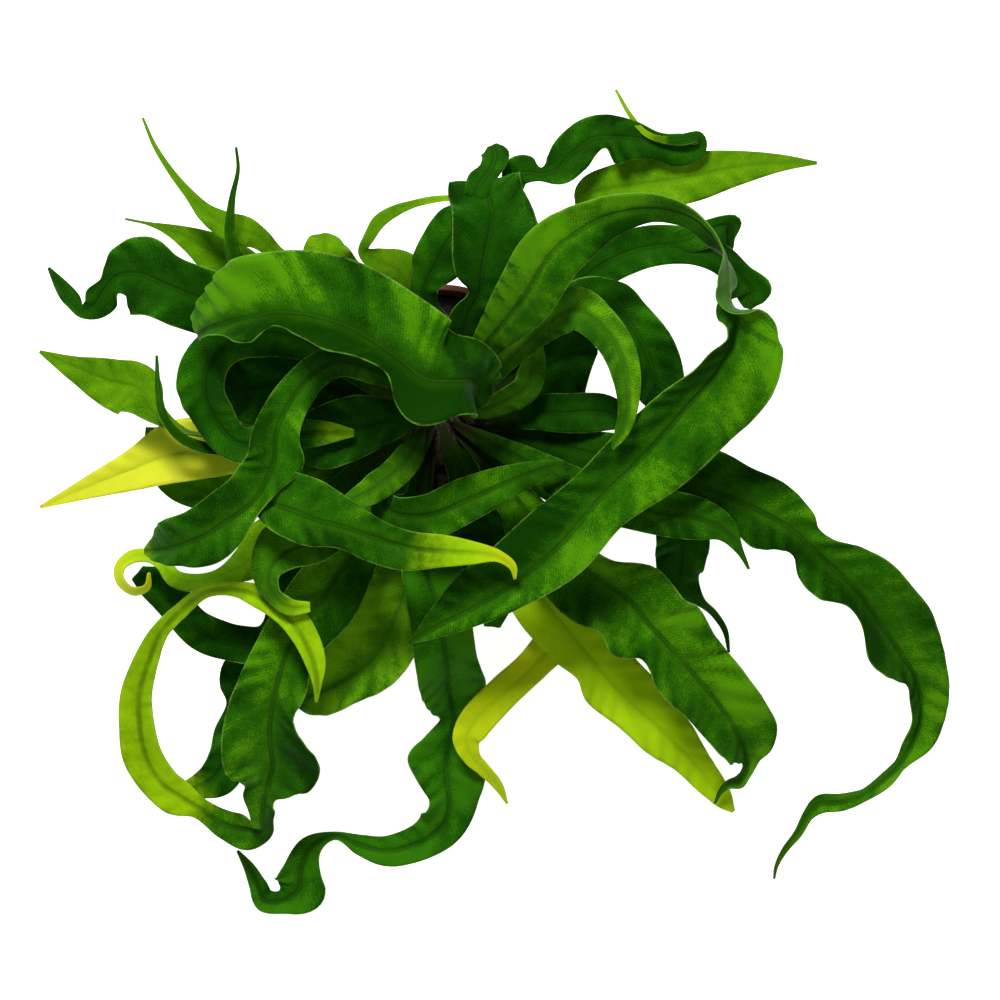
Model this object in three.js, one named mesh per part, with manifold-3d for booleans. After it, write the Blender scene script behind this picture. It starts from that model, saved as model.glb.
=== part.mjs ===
import * as THREE from "three";
import { mergeVertices } from "three/addons/utils/BufferGeometryUtils.js";
import Module from "manifold-3d";

const wasm = await Module();
wasm.setup();

// Pot: a thin tapered round nursery pot, sizes in mm, standing on Z = 0.
const POT_HEIGHT = 98;
const POT_TOP_RADIUS = 61;
const POT_BASE_RADIUS = 44;
const POT_WALL = 1.6;
const POT_FLOOR = 2;
const RIM_DEPTH = 9;
const RIM_STEP = 1.6;
const DRAIN_HOLES = 8;
const DRAIN_RADIUS = 4.5;
const DRAIN_RING = 30;
const DRAIN_SIDES = 6;
const POT_SIDES = 32;

// Potting mix and the crown of old frond bases that stands in it.
const SEAT_GAP = 0.3;
const SOIL_EDGE = 83;
const SOIL_TOP = 85;
const CROWN_RADIUS = 31;
const CROWN_FOOT = 78;
const CROWN_TOP = 97;
const CROWN_SIDES = 20;
const HOLE_FLOOR = 88;
const HOLE_RADIUS = 3.4;
const HOLE_SIDES = 4;

// Fronds: every blade is a ribbon along a curve through its stations.
const STIPE_FOOT = 88.4;
const STIPE_TOP = 100;
const STIPE_WIDTH = 3.4;
const STIPE_THICKNESS = 2.4;
const BLADE_THICKNESS = 0.9;
const STIPE_STATIONS = 2.4;
const LEAN_RISE = 0.3;
const RING_RADII = [5.2, 12.2, 19.6, 26.4];

// Each station is [x, y, z, blade width, roll in degrees, lean]; roll 0 lies flat, face up, and
// lean, 0 where it is left out, moves both margins to the left of the rib as the blade runs.
// ring and turn place the base on the crown; wave is [height, count, phase in turns, scallop].
const FRONDS = [
  { name: "frond_01_spiral", tone: "mid", ring: 0, turn: 45,
    fold: 8, wave: [2.0, 5, 0.1, 0], across: 4, along: 37, stations: [
    [14, 17, 150, 9, 0], [27, 34, 196, 18, 0], [43, 54, 232, 30, 5], [57.5, 76.5, 254, 32, 5],
    [71, 87, 260, 29, 12], [84, 94, 264, 26, 30], [109, 98, 266, 19, 56, 3],
    [128, 93, 264, 20, 77, 1.5],
    [142, 77, 260, 22, 85], [145, 62, 256, 18, 116], [145, 54, 253, 19, 110],
    [147, 48.5, 250, 23, 60, 3],
    [149, 45, 248, 24, 25, 6.5], [148.5, 38, 244, 25.5, 15, 11.7], [147.5, 31, 241, 32, 10, 12],
    [144.5, 25, 238, 37, 6, 11.5], [137, 13, 231, 39, 2, 9.5],
    [127, 2, 224, 41, 0, 7], [106, -22, 214, 42, 0, 3.5], [81, -47, 203, 34.5, 0, 0.3],
    [61, -70, 194, 39, 0, -2.5],
    [41, -87, 185, 34, 0, -4], [21, -100, 177, 28, 0, -4.7], [1, -110, 170, 15, 0, -1.5],
    [-14, -119, 163, 1.6, 0]] },
  { name: "frond_02_broad_wavy", tone: "mid", ring: 0, turn: 315,
    fold: 10, wave: [3.0, 3.5, 0.1, 0], across: 4, along: 32, stations: [
    [10, 0, 135, 8, 0], [17, 5, 170, 15, 0], [20, 9, 202, 26, 0], [15, 12, 224, 38, 0, -2],
    [7, 12, 233, 41, 0, -3.5], [-6, 13, 238, 54, 0, -4], [-20, 23, 240, 41, 0, -11],
    [-34, 33, 241, 42, 0, -10], [-50, 41, 240, 47, 0, -8.5], [-66, 45, 238, 43, 0, -10.5],
    [-80, 46, 234, 37, 0, -12], [-93, 44, 228, 42, 0, -8.5], [-105, 41, 219, 27, 0, -9],
    [-115, 38, 208, 17, 0, -5.5], [-120, 35, 196, 8, 0, -1]] },
  { name: "frond_03_forked", tone: "mid", ring: 0, turn: 135,
    fold: 10, wave: [2.0, 4, 0.4, 0], across: 4, along: 28, stations: [
    [-14, 10, 140, 8, 0], [-32, 18, 174, 15, 0], [-50, 22, 196, 16, 0], [-62, 16, 204, 17, 0],
    [-71, 6, 206, 19, 0], [-77, -4, 206, 21, 0], [-81, -15, 205, 24, 0], [-82, -28, 203, 29, 0, 0.5],
    [-86, -38, 202, 24, 0, -3.5], [-92, -48, 200, 22.5, 0, -5.2], [-104, -57, 195, 29, 0, -1.5],
    [-118, -66, 188, 30, 0], [-131, -71, 178, 24, 0, -2.7], [-140, -73, 168, 15, 0, -2.7],
    [-147, -73, 160, 3, 0]],
    fork: { fold: 8, wave: [1.5, 3, 0.2, 0], along: 20, stations: [
      [-93, -47, 198.5, 8, 0], [-88, -48, 199.5, 18, 0, 1], [-81, -50, 201, 29, 0, 3],
      [-72, -53, 203, 33, 0, 2.5],
      [-62, -57, 202, 33, 0, 2.5], [-47, -61, 202, 25, 0, 1.5], [-32, -66, 201, 22, 0, -1.5],
      [-15, -71, 202, 20, 0, -2], [2, -73, 203, 16.5, 0], [18, -74, 204, 11.5, 0],
      [30, -76, 203, 6, 0, 0.5], [37, -81, 201, 4, 0, 0.5], [38.5, -87, 198, 1.4, 0]] } },
  { name: "frond_04_bowl", tone: "deep", ring: 1, turn: 172,
    fold: 16, wave: [1.5, 5, 0.3, 0.8], across: 2, along: 26, stations: [
    [-28, 8, 128, 9, 0], [-56, 26, 152, 16, 0], [-84, 36, 168, 22, 0], [-107, 30, 172, 23, 8],
    [-117, 12, 168, 24, 12, -1], [-112, -6, 160, 22, 10], [-100, -19, 158, 18, 5], [-84, -18, 166, 16, 0],
    [-68, -14, 173, 15, 0], [-55, -14, 176, 11, 0], [-42, -14, 177, 4, 0]] },
  { name: "frond_05_bowl_floor", tone: "deep", ring: 2, turn: 169,
    fold: 12, wave: [2.5, 4, 0, 1], across: 2, along: 14, stations: [
    [-34, 4, 116, 12, 0], [-56, 10, 134, 28, 0], [-78, 12, 142, 40, 0], [-98, 8, 138, 36, 0],
    [-112, 6, 132, 14, 0]] },
  { name: "frond_06_loop", tone: "mid", ring: 2, turn: 236,
    fold: 9, wave: [2.0, 6, 0.2, 0], across: 4, along: 44, stations: [
    [-20, -36, 126, 10, 0], [-38, -66, 148, 24, 0], [-58, -96, 152, 36, 0, 1],
    [-75, -122, 146, 30, 0, -1],
    [-80, -138, 142, 34, 0, -2], [-83.5, -153, 134, 33.5, 0, -5.2], [-84.5, -168, 126, 42.5, 0, -3.2],
    [-83, -180, 117, 48, 0, -0.2], [-84.5, -187.5, 111, 38, 0, 1.8],
    [-86, -194, 107, 18, 0, -2.6], [-87.5, -198, 104.5, 16, 0, -2.8], [-88, -203, 101, 14, 0, -0.8],
    [-88.5, -208, 97, 11.5, 0], [-88, -213, 91, 11, -25],
    [-95, -213, 85, 18, -15, 1.5],
    [-107.5, -210.5, 82, 14.5, 0], [-120, -202.5, 82, 11, 0], [-130, -196.5, 84, 18.5, 0, 1.2],
    [-139.5, -189.5, 88, 19, 0, 0.5], [-147.3, -175.5, 93, 20, 0, 1.5], [-150, -160, 100, 18, 0, 1.5],
    [-150, -145, 108, 16, 0, 1.5], [-144.5, -127, 122, 12.5, 0, 1.5], [-138.5, -113.5, 133, 9, 10, 1],
    [-128, -102, 144, 8, 20], [-117, -93.5, 154, 7, 25], [-103, -92, 162, 7.5, 15],
    [-89.5, -95.8, 168, 12, 0],
    [-76.5, -105, 171, 14, 0, 1.5], [-67.5, -117, 171, 13, 0, 1.5], [-62, -130, 169, 10, 0, 1],
    [-60.5, -140, 166, 4.5, 0], [-61, -149, 162, 1.4, 0]] },
  { name: "frond_07_right_trail", tone: "mid", ring: 2, turn: 325,
    fold: 8, wave: [2.5, 7, 0.3, 0], across: 4, along: 44, stations: [
    [44, -15, 130, 10, 0], [78, -25, 156, 24, 0], [112, -34, 170, 34, 0], [135, -42, 173, 36, 0, 2],
    [150, -48, 172, 32, 0, 2], [165, -55, 169, 36, 0], [178, -63, 164, 25, 0, 1],
    [184.5, -69, 161, 19, 0], [190, -74, 158, 26, 0, -2.5],
    [200, -83.5, 152, 33.5, 0, 0.7], [209, -92, 146, 31, 0, 6.5], [218, -104, 138, 32.5, 0, 7.7],
    [226, -116, 130, 40, 0, 5], [233, -126, 122, 33.5, 0, 5], [239, -136, 115, 22.5, 0, 5.7],
    [242, -147, 107, 20, 0, 4.5], [242, -158, 101, 16, 0, 4], [239, -168, 96, 14, 10, 3],
    [233, -179.5, 91, 8, 35], [225, -188, 87, 9.5, 40, 0.8], [214, -196, 83, 8, 40],
    [203, -199.5, 80, 9, 10],
    [192, -200.5, 78, 9.5, 0], [186, -206, 76, 6, 0], [181, -215, 72, 4.5, 0], [174, -224, 67, 3.2, 0],
    [170, -232, 62, 2, 0], [169, -238, 58, 1.2, 0]] },
  { name: "frond_08_broad_ruffled", tone: "mid", ring: 2, turn: 304,
    fold: 8, wave: [3.0, 6, 0, 0], across: 4, along: 34, stations: [
    [30, -34, 128, 12, 0], [54, -66, 146, 30, 0, -3], [79, -86, 150, 36, 0, -7],
    [95, -97, 148, 43, 0, -0.5],
    [106, -110, 144, 45, 0, -1], [111.5, -116, 141, 39, 0, 4.5], [123, -129, 134, 40, 0, 1],
    [136, -144, 124, 37, 0, 1.5],
    [147, -159, 114, 35, 0, 2.5], [153, -171, 105, 28, 0, 4.5], [155, -179, 98, 9, 0, 2],
    [154.5, -185, 94, 6, 20], [151.5, -189, 91, 7, 20], [146, -190.5, 88, 5, 20], [142, -194, 85, 3, 0],
    [139, -200, 82, 1.2, 0]] },
  { name: "frond_09_yellow_green", tone: "lime", ring: 2, turn: 282,
    fold: 7, wave: [2.0, 5, 0.5, 0.4], across: 2, along: 24, stations: [
    [22, -40, 118, 13, 0], [38, -72, 126, 26, 0], [54, -98, 124, 33, 0, -1], [70, -118, 118, 32, 0, 0.5],
    [78, -128, 114, 29, 0, 2.5], [85, -137, 110, 33, 0, 0.5], [100, -152, 103, 30, 0, 2],
    [115, -166, 95, 26, 0], [127, -178, 88, 18.5, 0],
    [137, -190, 81, 14, 0], [144, -199, 76, 9, 0], [148.5, -204, 73, 2, 0]] },
  { name: "frond_10_yellow_strap", tone: "lime", ring: 3, turn: 285,
    fold: 6, wave: [1.2, 3, 0, 0.4], across: 2, along: 26, stations: [
    [26, -44, 108, 11, 0], [46, -78, 112, 18, 0], [59, -101, 110, 20, 0], [58, -117, 107, 20, 0],
    [48, -130, 108.5, 17, 0], [32, -145, 112.5, 17, 0], [18, -160, 110, 17, 0], [14, -168, 107, 14, 0],
    [17, -177, 102, 9, 0], [22, -182, 97, 7, 0], [30, -191, 86, 5, 0], [34.5, -200, 78, 1.2, 0]] },
  { name: "frond_11_bottom_trail", tone: "deep", ring: 2, turn: 259,
    fold: 8, wave: [2.4, 7, 0.25, 0], across: 4, along: 42, stations: [
    [-10, -42, 120, 10, 0], [-8, -74, 138, 29, 0, 3.5], [0, -104, 140, 31, 0, 0.5],
    [4, -128, 126, 31.5, 0],
    [5, -142, 108.5, 32, 0, 3], [7, -151, 101, 24, 0, 1], [8, -159, 95, 15, 10],
    [6, -168, 91, 27, 0, 0.5],
    [4, -178, 88, 37.5, 0, -0.7], [4, -188, 86, 34, 0, 3], [5.5, -198, 83, 25, 0, 2.5],
    [3, -210, 76, 23.5, 0, -0.7], [-7, -218.5, 70, 19, 0, -0.2], [-26, -224, 63, 15.5, 0, 0.2],
    [-39.5, -221, 61, 10.5, 5], [-52, -216.5, 60, 4.4, 20], [-64, -222, 58, 12, 0],
    [-69, -233, 57, 19, 0, 0.5], [-70.5, -243.5, 55, 26.5, 5, 0.5], [-78.5, -249, 52, 12.5, 15, 1.3],
    [-87.5, -249, 53, 12, 10], [-91, -241, 57, 9, 0],
    [-95.5, -232, 62, 5.5, 0], [-101, -224, 66, 1.4, 0]] },
  { name: "frond_12_yellow_curl", tone: "lime", ring: 2, turn: 213,
    fold: 6, wave: [1.0, 3, 0, 0], across: 2, along: 32, stations: [
    [-36, -28, 116, 8, 0], [-66, -56, 128, 16, 0], [-84, -70, 130, 24, 0, -2], [-97, -80, 129, 17, 0],
    [-110, -86, 126, 8, 0], [-122, -89, 124, 9, 0], [-132, -87, 121, 9, 10], [-138, -80, 119, 8, 30],
    [-144, -76, 118, 8, 40], [-153, -76, 118, 10, 50], [-159, -81, 120, 10, 55],
    [-159, -88, 124, 9, 60], [-153, -93, 128, 8, 60], [-146, -91, 131, 5, 50],
    [-145, -84, 133, 1.6, 40]] },
  { name: "frond_13_hook", tone: "lime", ring: 1, turn: 200,
    fold: 14, wave: [0.8, 3, 0, 0], across: 2, along: 22, stations: [
    [-24, -28, 134, 9, 0], [-44, -56, 158, 18, 0], [-62, -68, 172, 22, 0], [-77, -74, 178, 27, 15, -2],
    [-85, -84, 180, 17, 30], [-82, -95, 181, 11, 40], [-74, -101, 180, 9, 20],
    [-64, -101, 178, 5, 0]] },
  { name: "frond_14_yellow_dart", tone: "yellow", ring: 3, turn: 192,
    fold: 9, wave: [0.8, 2, 0, 0.3], across: 2, along: 18, stations: [
    [-50, -13, 104, 12, 0], [-80, -18, 110, 23, 0], [-106, -20, 112, 29, 0],
    [-132, -24, 111, 31, 0, -0.7],
    [-153, -32, 108, 20.5, 0, 0.8], [-176, -41, 102, 11, 0, 0.5], [-200, -51, 94, 1.6, 0]] },
  { name: "frond_15_green_dart", tone: "lime", ring: 3, turn: 176,
    fold: 9, wave: [1.0, 3, 0, 0.5], across: 2, along: 22, stations: [
    [-50, 0, 106, 8, 0], [-80, -6, 120, 9, 20], [-106, -14, 130, 8, 50], [-125, -14, 133, 7, 70],
    [-141.5, -4, 134, 13, 42, 1.5], [-150, 8, 132, 28, 12, 2], [-165, 12, 128, 24.5, 0, 0.8],
    [-182, 19, 122, 12.5, 0, 0.8],
    [-200, 27, 114, 1.6, 0]] },
  { name: "frond_16_thin_spike", tone: "mid", ring: 2, turn: 191,
    fold: 5, wave: [0.4, 2, 0, 0], across: 2, along: 14, stations: [
    [-44, -6, 120, 7, 0], [-76, -14, 138, 8, 0], [-106, -22, 144, 6, 0], [-126, -18, 148, 5.5, 20],
    [-137, -7, 150, 5, 30], [-140, 6, 152, 3.4, 0], [-141, 25, 152, 1.4, 0]] },
  { name: "frond_17_light_spike", tone: "lime", ring: 2, turn: 130,
    fold: 8, wave: [0.8, 3, 0, 0], across: 2, along: 20, stations: [
    [-30, 36, 116, 9, 0], [-52, 56, 138, 11, 0], [-68, 67, 147, 10, 0], [-80, 75, 152, 8, 0],
    [-89, 83, 157, 11, 0], [-97, 87, 160, 15, 0], [-108, 91, 160, 13, 0], [-117, 97, 160, 9, 0],
    [-124, 105, 159, 5.5, 0], [-133, 116, 157, 3.6, 0], [-142, 130, 154, 2.4, 0],
    [-148, 144, 150, 1.3, 0]] },
  { name: "frond_18_lime_point", tone: "lime", ring: 3, turn: 146,
    fold: 8, wave: [0.8, 3, 0, 0], across: 2, along: 18, stations: [
    [-40, 27, 104, 9, 0], [-68, 47, 108, 14, 0], [-94, 66, 119, 20, 0], [-112, 76, 126, 21, 0],
    [-124, 83, 129, 13, 0], [-135, 88, 128, 6, 0], [-145, 91, 125, 2, 0], [-157, 93.5, 122, 1.2, 0]] },
  { name: "frond_19_dark_spike", tone: "mid", ring: 2, turn: 150,
    fold: 10, wave: [0.5, 2, 0, 0], across: 2, along: 14, stations: [
    [-36, 22, 124, 8, 0], [-62, 38, 150, 10, 0], [-86, 54, 166, 10, 0], [-100, 70, 174, 9, 0],
    [-104, 86, 180, 6, 0], [-103, 103, 184, 3.4, 0], [-100, 118, 186, 2, 0],
    [-101, 129, 186, 1.4, 0]] },
  { name: "frond_20_twisted_tail", tone: "deep", ring: 3, turn: 161,
    fold: 10, wave: [2.0, 5, 0.3, 0.5], across: 4, along: 31, stations: [
    [-46, 16, 106, 10, 0], [-76, 30, 118, 22, 0], [-102, 46, 136, 32, 0], [-127, 56.5, 147, 33, 0, 1],
    [-138, 61, 148, 34, 0, 1],
    [-149, 65.5, 148, 40, 0, 1.2], [-159, 65.5, 144, 26, 0, 1], [-165, 61, 141, 12, 0, 1],
    [-169.5, 54.5, 137, 17, 0, 1.5], [-173, 49.5, 134, 12, 0, 1], [-179.5, 47.5, 131, 7, 20],
    [-184, 53, 128, 9, 20], [-189, 60, 124, 7, 0], [-195.5, 69, 120, 1.6, 0]] },
  { name: "frond_21_hump", tone: "lime", ring: 2, turn: 108,
    fold: 8, wave: [1.2, 3, 0, 0.2], across: 2, along: 15, stations: [
    [-16, 38, 126, 9, 0], [-34, 54, 154, 18, 0], [-50, 66, 174, 23, 0], [-56, 75, 182, 23.5, 0],
    [-56.5, 80.5, 181, 19.5, 0], [-56, 84, 179.5, 13, 0], [-55.8, 86, 178.5, 3, 0]] },
  { name: "frond_22_thin_arc", tone: "lime", ring: 3, turn: 115,
    fold: 7, wave: [0.4, 2, 0, 0], across: 2, along: 23, stations: [
    [-14, 46, 116, 10, 0], [-15, 57, 136, 20, 0], [-20, 67, 144, 23, 0], [-30, 72, 151, 14, 15],
    [-37.5, 77, 159, 6, 25], [-34, 85, 164, 6, 10], [-29.5, 92, 165, 7, 0], [-22, 97, 166, 6, 0],
    [-12, 100.8, 166, 4, 0], [-2, 103, 166, 3.6, 0], [9, 104, 166, 2.5, 0]] },
  { name: "frond_23_dark_left", tone: "deep", ring: 2, turn: 86,
    fold: 8, wave: [1.6, 3, 0.2, 0.5], across: 2, along: 16, stations: [
    [4, 38, 122, 9, 0], [-5, 48, 140, 12, 0], [-7.5, 56, 148, 14, 0], [-5.5, 62, 152, 15, 0, 0.5],
    [-1, 70, 157, 25, 0], [3, 79, 162, 26, 0], [11, 90, 166, 24, 0], [20, 99, 168, 10, 0]] },
  { name: "frond_24_top_trail", tone: "deep", ring: 2, turn: 64,
    fold: 7, wave: [1.4, 5, 0, 0], across: 2, along: 38, stations: [
    [24, 42, 116, 9, 0], [31, 68, 134, 14, 0], [35, 92, 146, 13, 0], [37, 108, 154, 11, 0],
    [41, 115.5, 157, 15, 0, 2], [46, 116.5, 158, 13.5, 0, 1.5], [51.5, 115.5, 160, 7, 0],
    [59, 117.5, 160, 16, 0], [67, 126, 160, 21, 0], [76, 133, 159, 19, 0, 1.5],
    [84, 134.5, 158, 17.5, 0, 2.5], [89, 134.5, 158, 24, 0, -1.5], [97, 134, 157, 20, 0, -1.5],
    [109, 131.5, 154, 14, 0, -1.5], [121, 128, 151, 17, 10], [129.5, 129.5, 151, 11, 20],
    [130, 134, 154, 7, 30], [122, 133, 157, 6, 20], [112, 133, 159, 3.6, 10],
    [103.5, 136.5, 160, 3, 0], [96, 145.5, 160, 2.4, 0], [89, 158, 158, 1.4, 0]] },
  { name: "frond_25_light_dart", tone: "lime", ring: 3, turn: 52,
    fold: 8, wave: [0.9, 3, 0, 0.3], across: 2, along: 20, stations: [
    [34, 40, 105, 9, 0], [54, 64, 114, 11, 0], [69, 86, 126, 10, 0], [73, 99, 134, 9.5, 0],
    [76, 105.5, 138, 17.5, 0], [91, 109, 141, 24, 0], [125, 114, 140, 26, 0], [149, 119, 138, 18, 0],
    [171, 121.5, 135, 9, 0],
    [190, 121.5, 134, 1.6, 0]] },
  { name: "frond_26_right_dark", tone: "deep", ring: 3, turn: 34,
    fold: 8, wave: [1.6, 4, 0.1, 0.4], across: 2, along: 24, stations: [
    [46, 32, 112, 9, 0], [64, 52, 138, 16, 0], [80, 69, 154, 21, 0], [104, 79, 162, 21, 0],
    [128, 79, 162, 18, 0], [142, 73, 159, 15, 0], [151, 65, 156, 15, 0, -1],
    [157.5, 57, 152, 22, 0, -1.5], [156, 52.5, 150, 12, 0, -1], [155, 48.5, 148, 4, 0]],
    fork: { fold: 8, wave: [0.5, 2, 0, 0], along: 10, stations: [
      [108, 80, 162, 8, 0], [126, 84, 163, 13, 0, -1], [136, 88, 164, 14, 0, -2],
      [142, 90, 163, 15, 5, -2.5], [146, 90, 160, 15, 10, -1.2], [147.3, 85, 156, 7, 0, -2],
      [146, 79, 152, 4, 0], [145.5, 76, 150, 1.4, 0]] } },
  { name: "frond_27_right_inner", tone: "deep", ring: 2, turn: 26,
    fold: 8, wave: [1.8, 4, 0.4, 1.2], across: 2, along: 20, stations: [
    [31, 22, 128, 9, 0], [52, 42, 160, 16, 0], [77, 54, 184, 20, 0], [86, 51, 190, 23, 0, 1.2],
    [93, 45, 194, 21.5, 0],
    [104, 27, 192, 27, 0, 2.6], [110, 6, 184, 22, 0, 1], [111, -8, 176, 6, 0]] },
  { name: "frond_28_hanging", tone: "fresh", ring: 1, turn: 20,
    fold: 8, wave: [1.2, 4, 0.1, 0.3], across: 2, along: 24, stations: [
    [22, 9, 146, 7, 0], [40, 28, 186, 13, 0], [56, 42, 212, 18, 0], [69, 48, 226, 22, 0],
    [81, 40, 233, 19, 0], [90, 28, 236, 17, 0], [94.3, 12, 235, 13.8, 0], [94.6, -4, 232, 9.5, 0],
    [91.5, -14, 229, 7, 0], [87, -22, 226, 1.6, 0]] },
  { name: "frond_29_light_hook", tone: "fresh", ring: 1, turn: 340,
    fold: 9, wave: [0.8, 3, 0, 0], across: 2, along: 20, stations: [
    [22, -3, 132, 8, 0], [34, 2, 156, 13, 10], [44, 9, 170, 15, 20], [47, 20, 174, 14, 25],
    [47, 32, 178, 11, 10], [53, 42, 182, 2, 0]] },
  { name: "frond_30_centre_strap", tone: "mid", ring: 1, turn: 255,
    fold: 10, wave: [1.0, 3, 0, 0.6], across: 2, along: 26, stations: [
    [-10, -24, 130, 8, 0], [-22, -38, 156, 14, 10], [-25, -52, 172, 18, 25], [-6, -55, 182, 22, 15],
    [16, -47, 186, 22, 0], [36, -38, 187, 17, 0], [52, -32, 187, 9, 0], [64, -29, 186, 1.6, 0]] },
  { name: "frond_31_inner_strap", tone: "deep", ring: 2, turn: 346,
    fold: 8, wave: [1.4, 3, 0.3, 0.5], across: 2, along: 16, stations: [
    [31, -5, 124, 11, 0], [46, -4, 144, 16, 0], [62, -4, 158, 20, 0], [84, -4, 162, 18, 0],
    [102, -11, 158, 3, 0]] },
  { name: "frond_32_tapered", tone: "mid", ring: 1, turn: 312,
    fold: 8, wave: [1.2, 4, 0, 0.4], across: 2, along: 18, stations: [
    [24, -18, 130, 9, 0], [50, -31, 160, 16, 0], [80, -46, 182, 22, 0], [108, -53, 191, 24, 0],
    [131, -57, 190, 21, 0], [144, -63, 186, 12, 0], [151, -73, 182, 4, 0], [155.5, -82, 178, 1.4, 0]] },
  { name: "frond_33_hanging_tail", tone: "deep", ring: 3, turn: 322,
    fold: 7, wave: [1.2, 4, 0, 0], across: 2, along: 26, stations: [
    [44, -34, 108, 12, 0], [76, -46, 126, 20, 0], [100, -46, 132, 18, 0], [116, -53, 133, 22, 0],
    [122.5, -66, 131, 27, 0], [121.5, -78, 124, 25, 0], [121.5, -87, 119, 20, 0],
    [126, -93.5, 114, 13, 10],
    [132, -99, 109, 5.5, 30],
    [138, -104, 104, 4.5, 40], [144, -113, 99, 3, 20], [146, -124, 94, 1.4, 0]] },
  { name: "frond_34_lower_left", tone: "deep", ring: 3, turn: 230,
    fold: 9, wave: [2.0, 4, 0.2, 0.6], across: 2, along: 24, stations: [
    [-34, -44, 108, 10, 0], [-58, -86, 116, 32, 0, -5.5], [-82, -119, 116, 22, 0, -1],
    [-100, -120, 113, 19, 0],
    [-116, -115, 109, 19, 0], [-128, -105, 104, 18, 0], [-140, -93, 100, 21, 0, -2.5],
    [-151, -84, 96, 9, 0]] },
  { name: "frond_35_left_under", tone: "deep", ring: 3, turn: 246,
    fold: 8, wave: [1.2, 4, 0.3, 0], across: 2, along: 22, stations: [
    [-26, -54, 103, 9, 0], [-50, -92, 102, 18, 0], [-76, -124, 94, 24, 0], [-94, -139, 89, 31, 0, -1.5],
    [-97, -152, 84, 17, 0, -1.5], [-103, -166, 80, 20, 0], [-106, -176, 76, 21, 0, 1.5],
    [-113, -187, 72, 19, 0, 1.5],
    [-124, -193, 69, 11, 0], [-137, -198, 67, 8, 0], [-146, -195, 66, 2, 0]] },
  { name: "frond_36_low_fold", tone: "mid", ring: 3, turn: 263,
    fold: 10, wave: [1.6, 4, 0.1, 0.3], across: 2, along: 22, stations: [
    [-8, -54, 106, 10, 0], [-13, -84, 116, 32, 0, -3], [-23, -109, 116, 48, 0, -7],
    [-34, -128, 110, 43, 0, -5.5],
    [-48, -138, 104, 30, 0, -2], [-60, -144, 98, 24, 0], [-69, -147, 94, 16, 0],
    [-72, -148, 92.5, 8, 0]] },
  { name: "frond_37_small_light", tone: "fresh", ring: 1, turn: 228,
    fold: 12, wave: [1.2, 4, 0, 0.4], across: 2, along: 14, stations: [
    [-11, -19, 142, 9, 0], [-14, -25, 162, 14, 0], [-24, -36, 176, 15, 0], [-34, -43, 184, 14, 0],
    [-44, -48, 190, 8, 0], [-52, -53, 193, 1.6, 0]] },
  { name: "frond_38_left_low", tone: "fresh", ring: 3, turn: 208,
    fold: 8, wave: [0.8, 3, 0, 0.3], across: 2, along: 16, stations: [
    [-50, -27, 101.5, 16, 0, 2.8], [-84, -40, 101, 18, 0, 0.8], [-115, -43, 96, 20, 0],
    [-133, -37, 91, 17, 0],
    [-142, -24, 87, 12, 0], [-142.5, -11, 84, 9, 0]] },
  { name: "frond_39_centre_dark", tone: "deep", ring: 0, turn: 225,
    fold: 10, wave: [1.4, 3, 0, 0.5], across: 2, along: 14, stations: [
    [-12, -5, 140, 10, 0], [-28, -8, 158, 24, 0], [-46, -12, 166, 32, 0], [-61, -16, 163, 30, 0, 2],
    [-73, -20, 158, 14, 0, 1]] },
  { name: "frond_40_south_small", tone: "deep", ring: 1, turn: 283,
    fold: 10, wave: [0.8, 3, 0, 0.5], across: 2, along: 14, stations: [
    [6, -22, 124, 9, 0], [12, -33, 134, 16, 0], [19, -46, 131, 22, 0, -4], [26, -66, 130, 31, 0, -6],
    [28, -86, 131, 26, 0, -2], [28, -100, 129, 18, 0], [27, -111, 124, 8, 0]] },
  { name: "frond_41_dark_column", tone: "deep", ring: 1, turn: 72,
    fold: 8, wave: [1.6, 4, 0.15, 0], across: 2, along: 20, stations: [
    [10, 24, 134, 9, 0], [15, 44, 164, 18, 0], [21, 57, 178, 15, 0, -2], [22, 67, 186, 28, 0, -1],
    [25, 82, 192, 46, 0, -5],
    [27, 94, 191, 42, 0, -1], [26, 102, 188, 37, 0, 1], [23.5, 109, 184, 38, 0], [23, 112, 182, 35, 0]],
    fork: { fold: 6, wave: [0.5, 2, 0, 0], along: 10, stations: [
      [18, 104, 188, 10, 0], [21, 111, 186, 14, 0], [25.5, 117, 181, 11, 0], [28, 122, 177, 13, 0],
      [28.5, 126, 175, 14, 0], [27, 130, 173, 5, 0]] } },
  { name: "frond_42_mid_right", tone: "deep", ring: 2, turn: 6,
    fold: 8, wave: [1.2, 3, 0.3, 0.3], across: 2, along: 14, stations: [
    [34, 8, 114, 10, 0], [50, 16, 132, 26, 0], [64, 24, 143, 42, 0, -1], [72, 26.5, 146, 28, 0, -3],
    [80, 27, 146, 2, 0]] },
];

function stationAt(points, share) {
  const last = points.length - 1;
  const place = Math.min(share * last, last - 1e-9);
  const k = Math.floor(place);
  const u = place - k;
  const a = points[Math.max(k - 1, 0)];
  const b = points[k];
  const c = points[k + 1];
  const d = points[Math.min(k + 2, last)];
  const gap = (p, q) => Math.max(Math.hypot(p[0] - q[0], p[1] - q[1], p[2] - q[2]), 1e-3) ** 0.5;
  const step = gap(b, c);
  const before = k > 0 ? gap(a, b) : step;
  const after = k + 2 <= last ? gap(c, d) : step;
  return b.map((value, i) => {
    const first = k > 0 ? a[i] : 2 * b[i] - c[i];
    const final = k + 2 <= last ? d[i] : 2 * c[i] - b[i];
    const rise = c[i] - b[i];
    const leave = ((b[i] - first) / before - (c[i] - first) / (before + step) + rise / step) * step;
    const enter = (rise / step - (final - b[i]) / (step + after) + (final - c[i]) / after) * step;
    const cubic = 2 * value - 2 * c[i] + leave + enter;
    const square = -3 * value + 3 * c[i] - 2 * leave - enter;
    return ((cubic * u + square) * u + leave) * u + value;
  });
}

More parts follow.
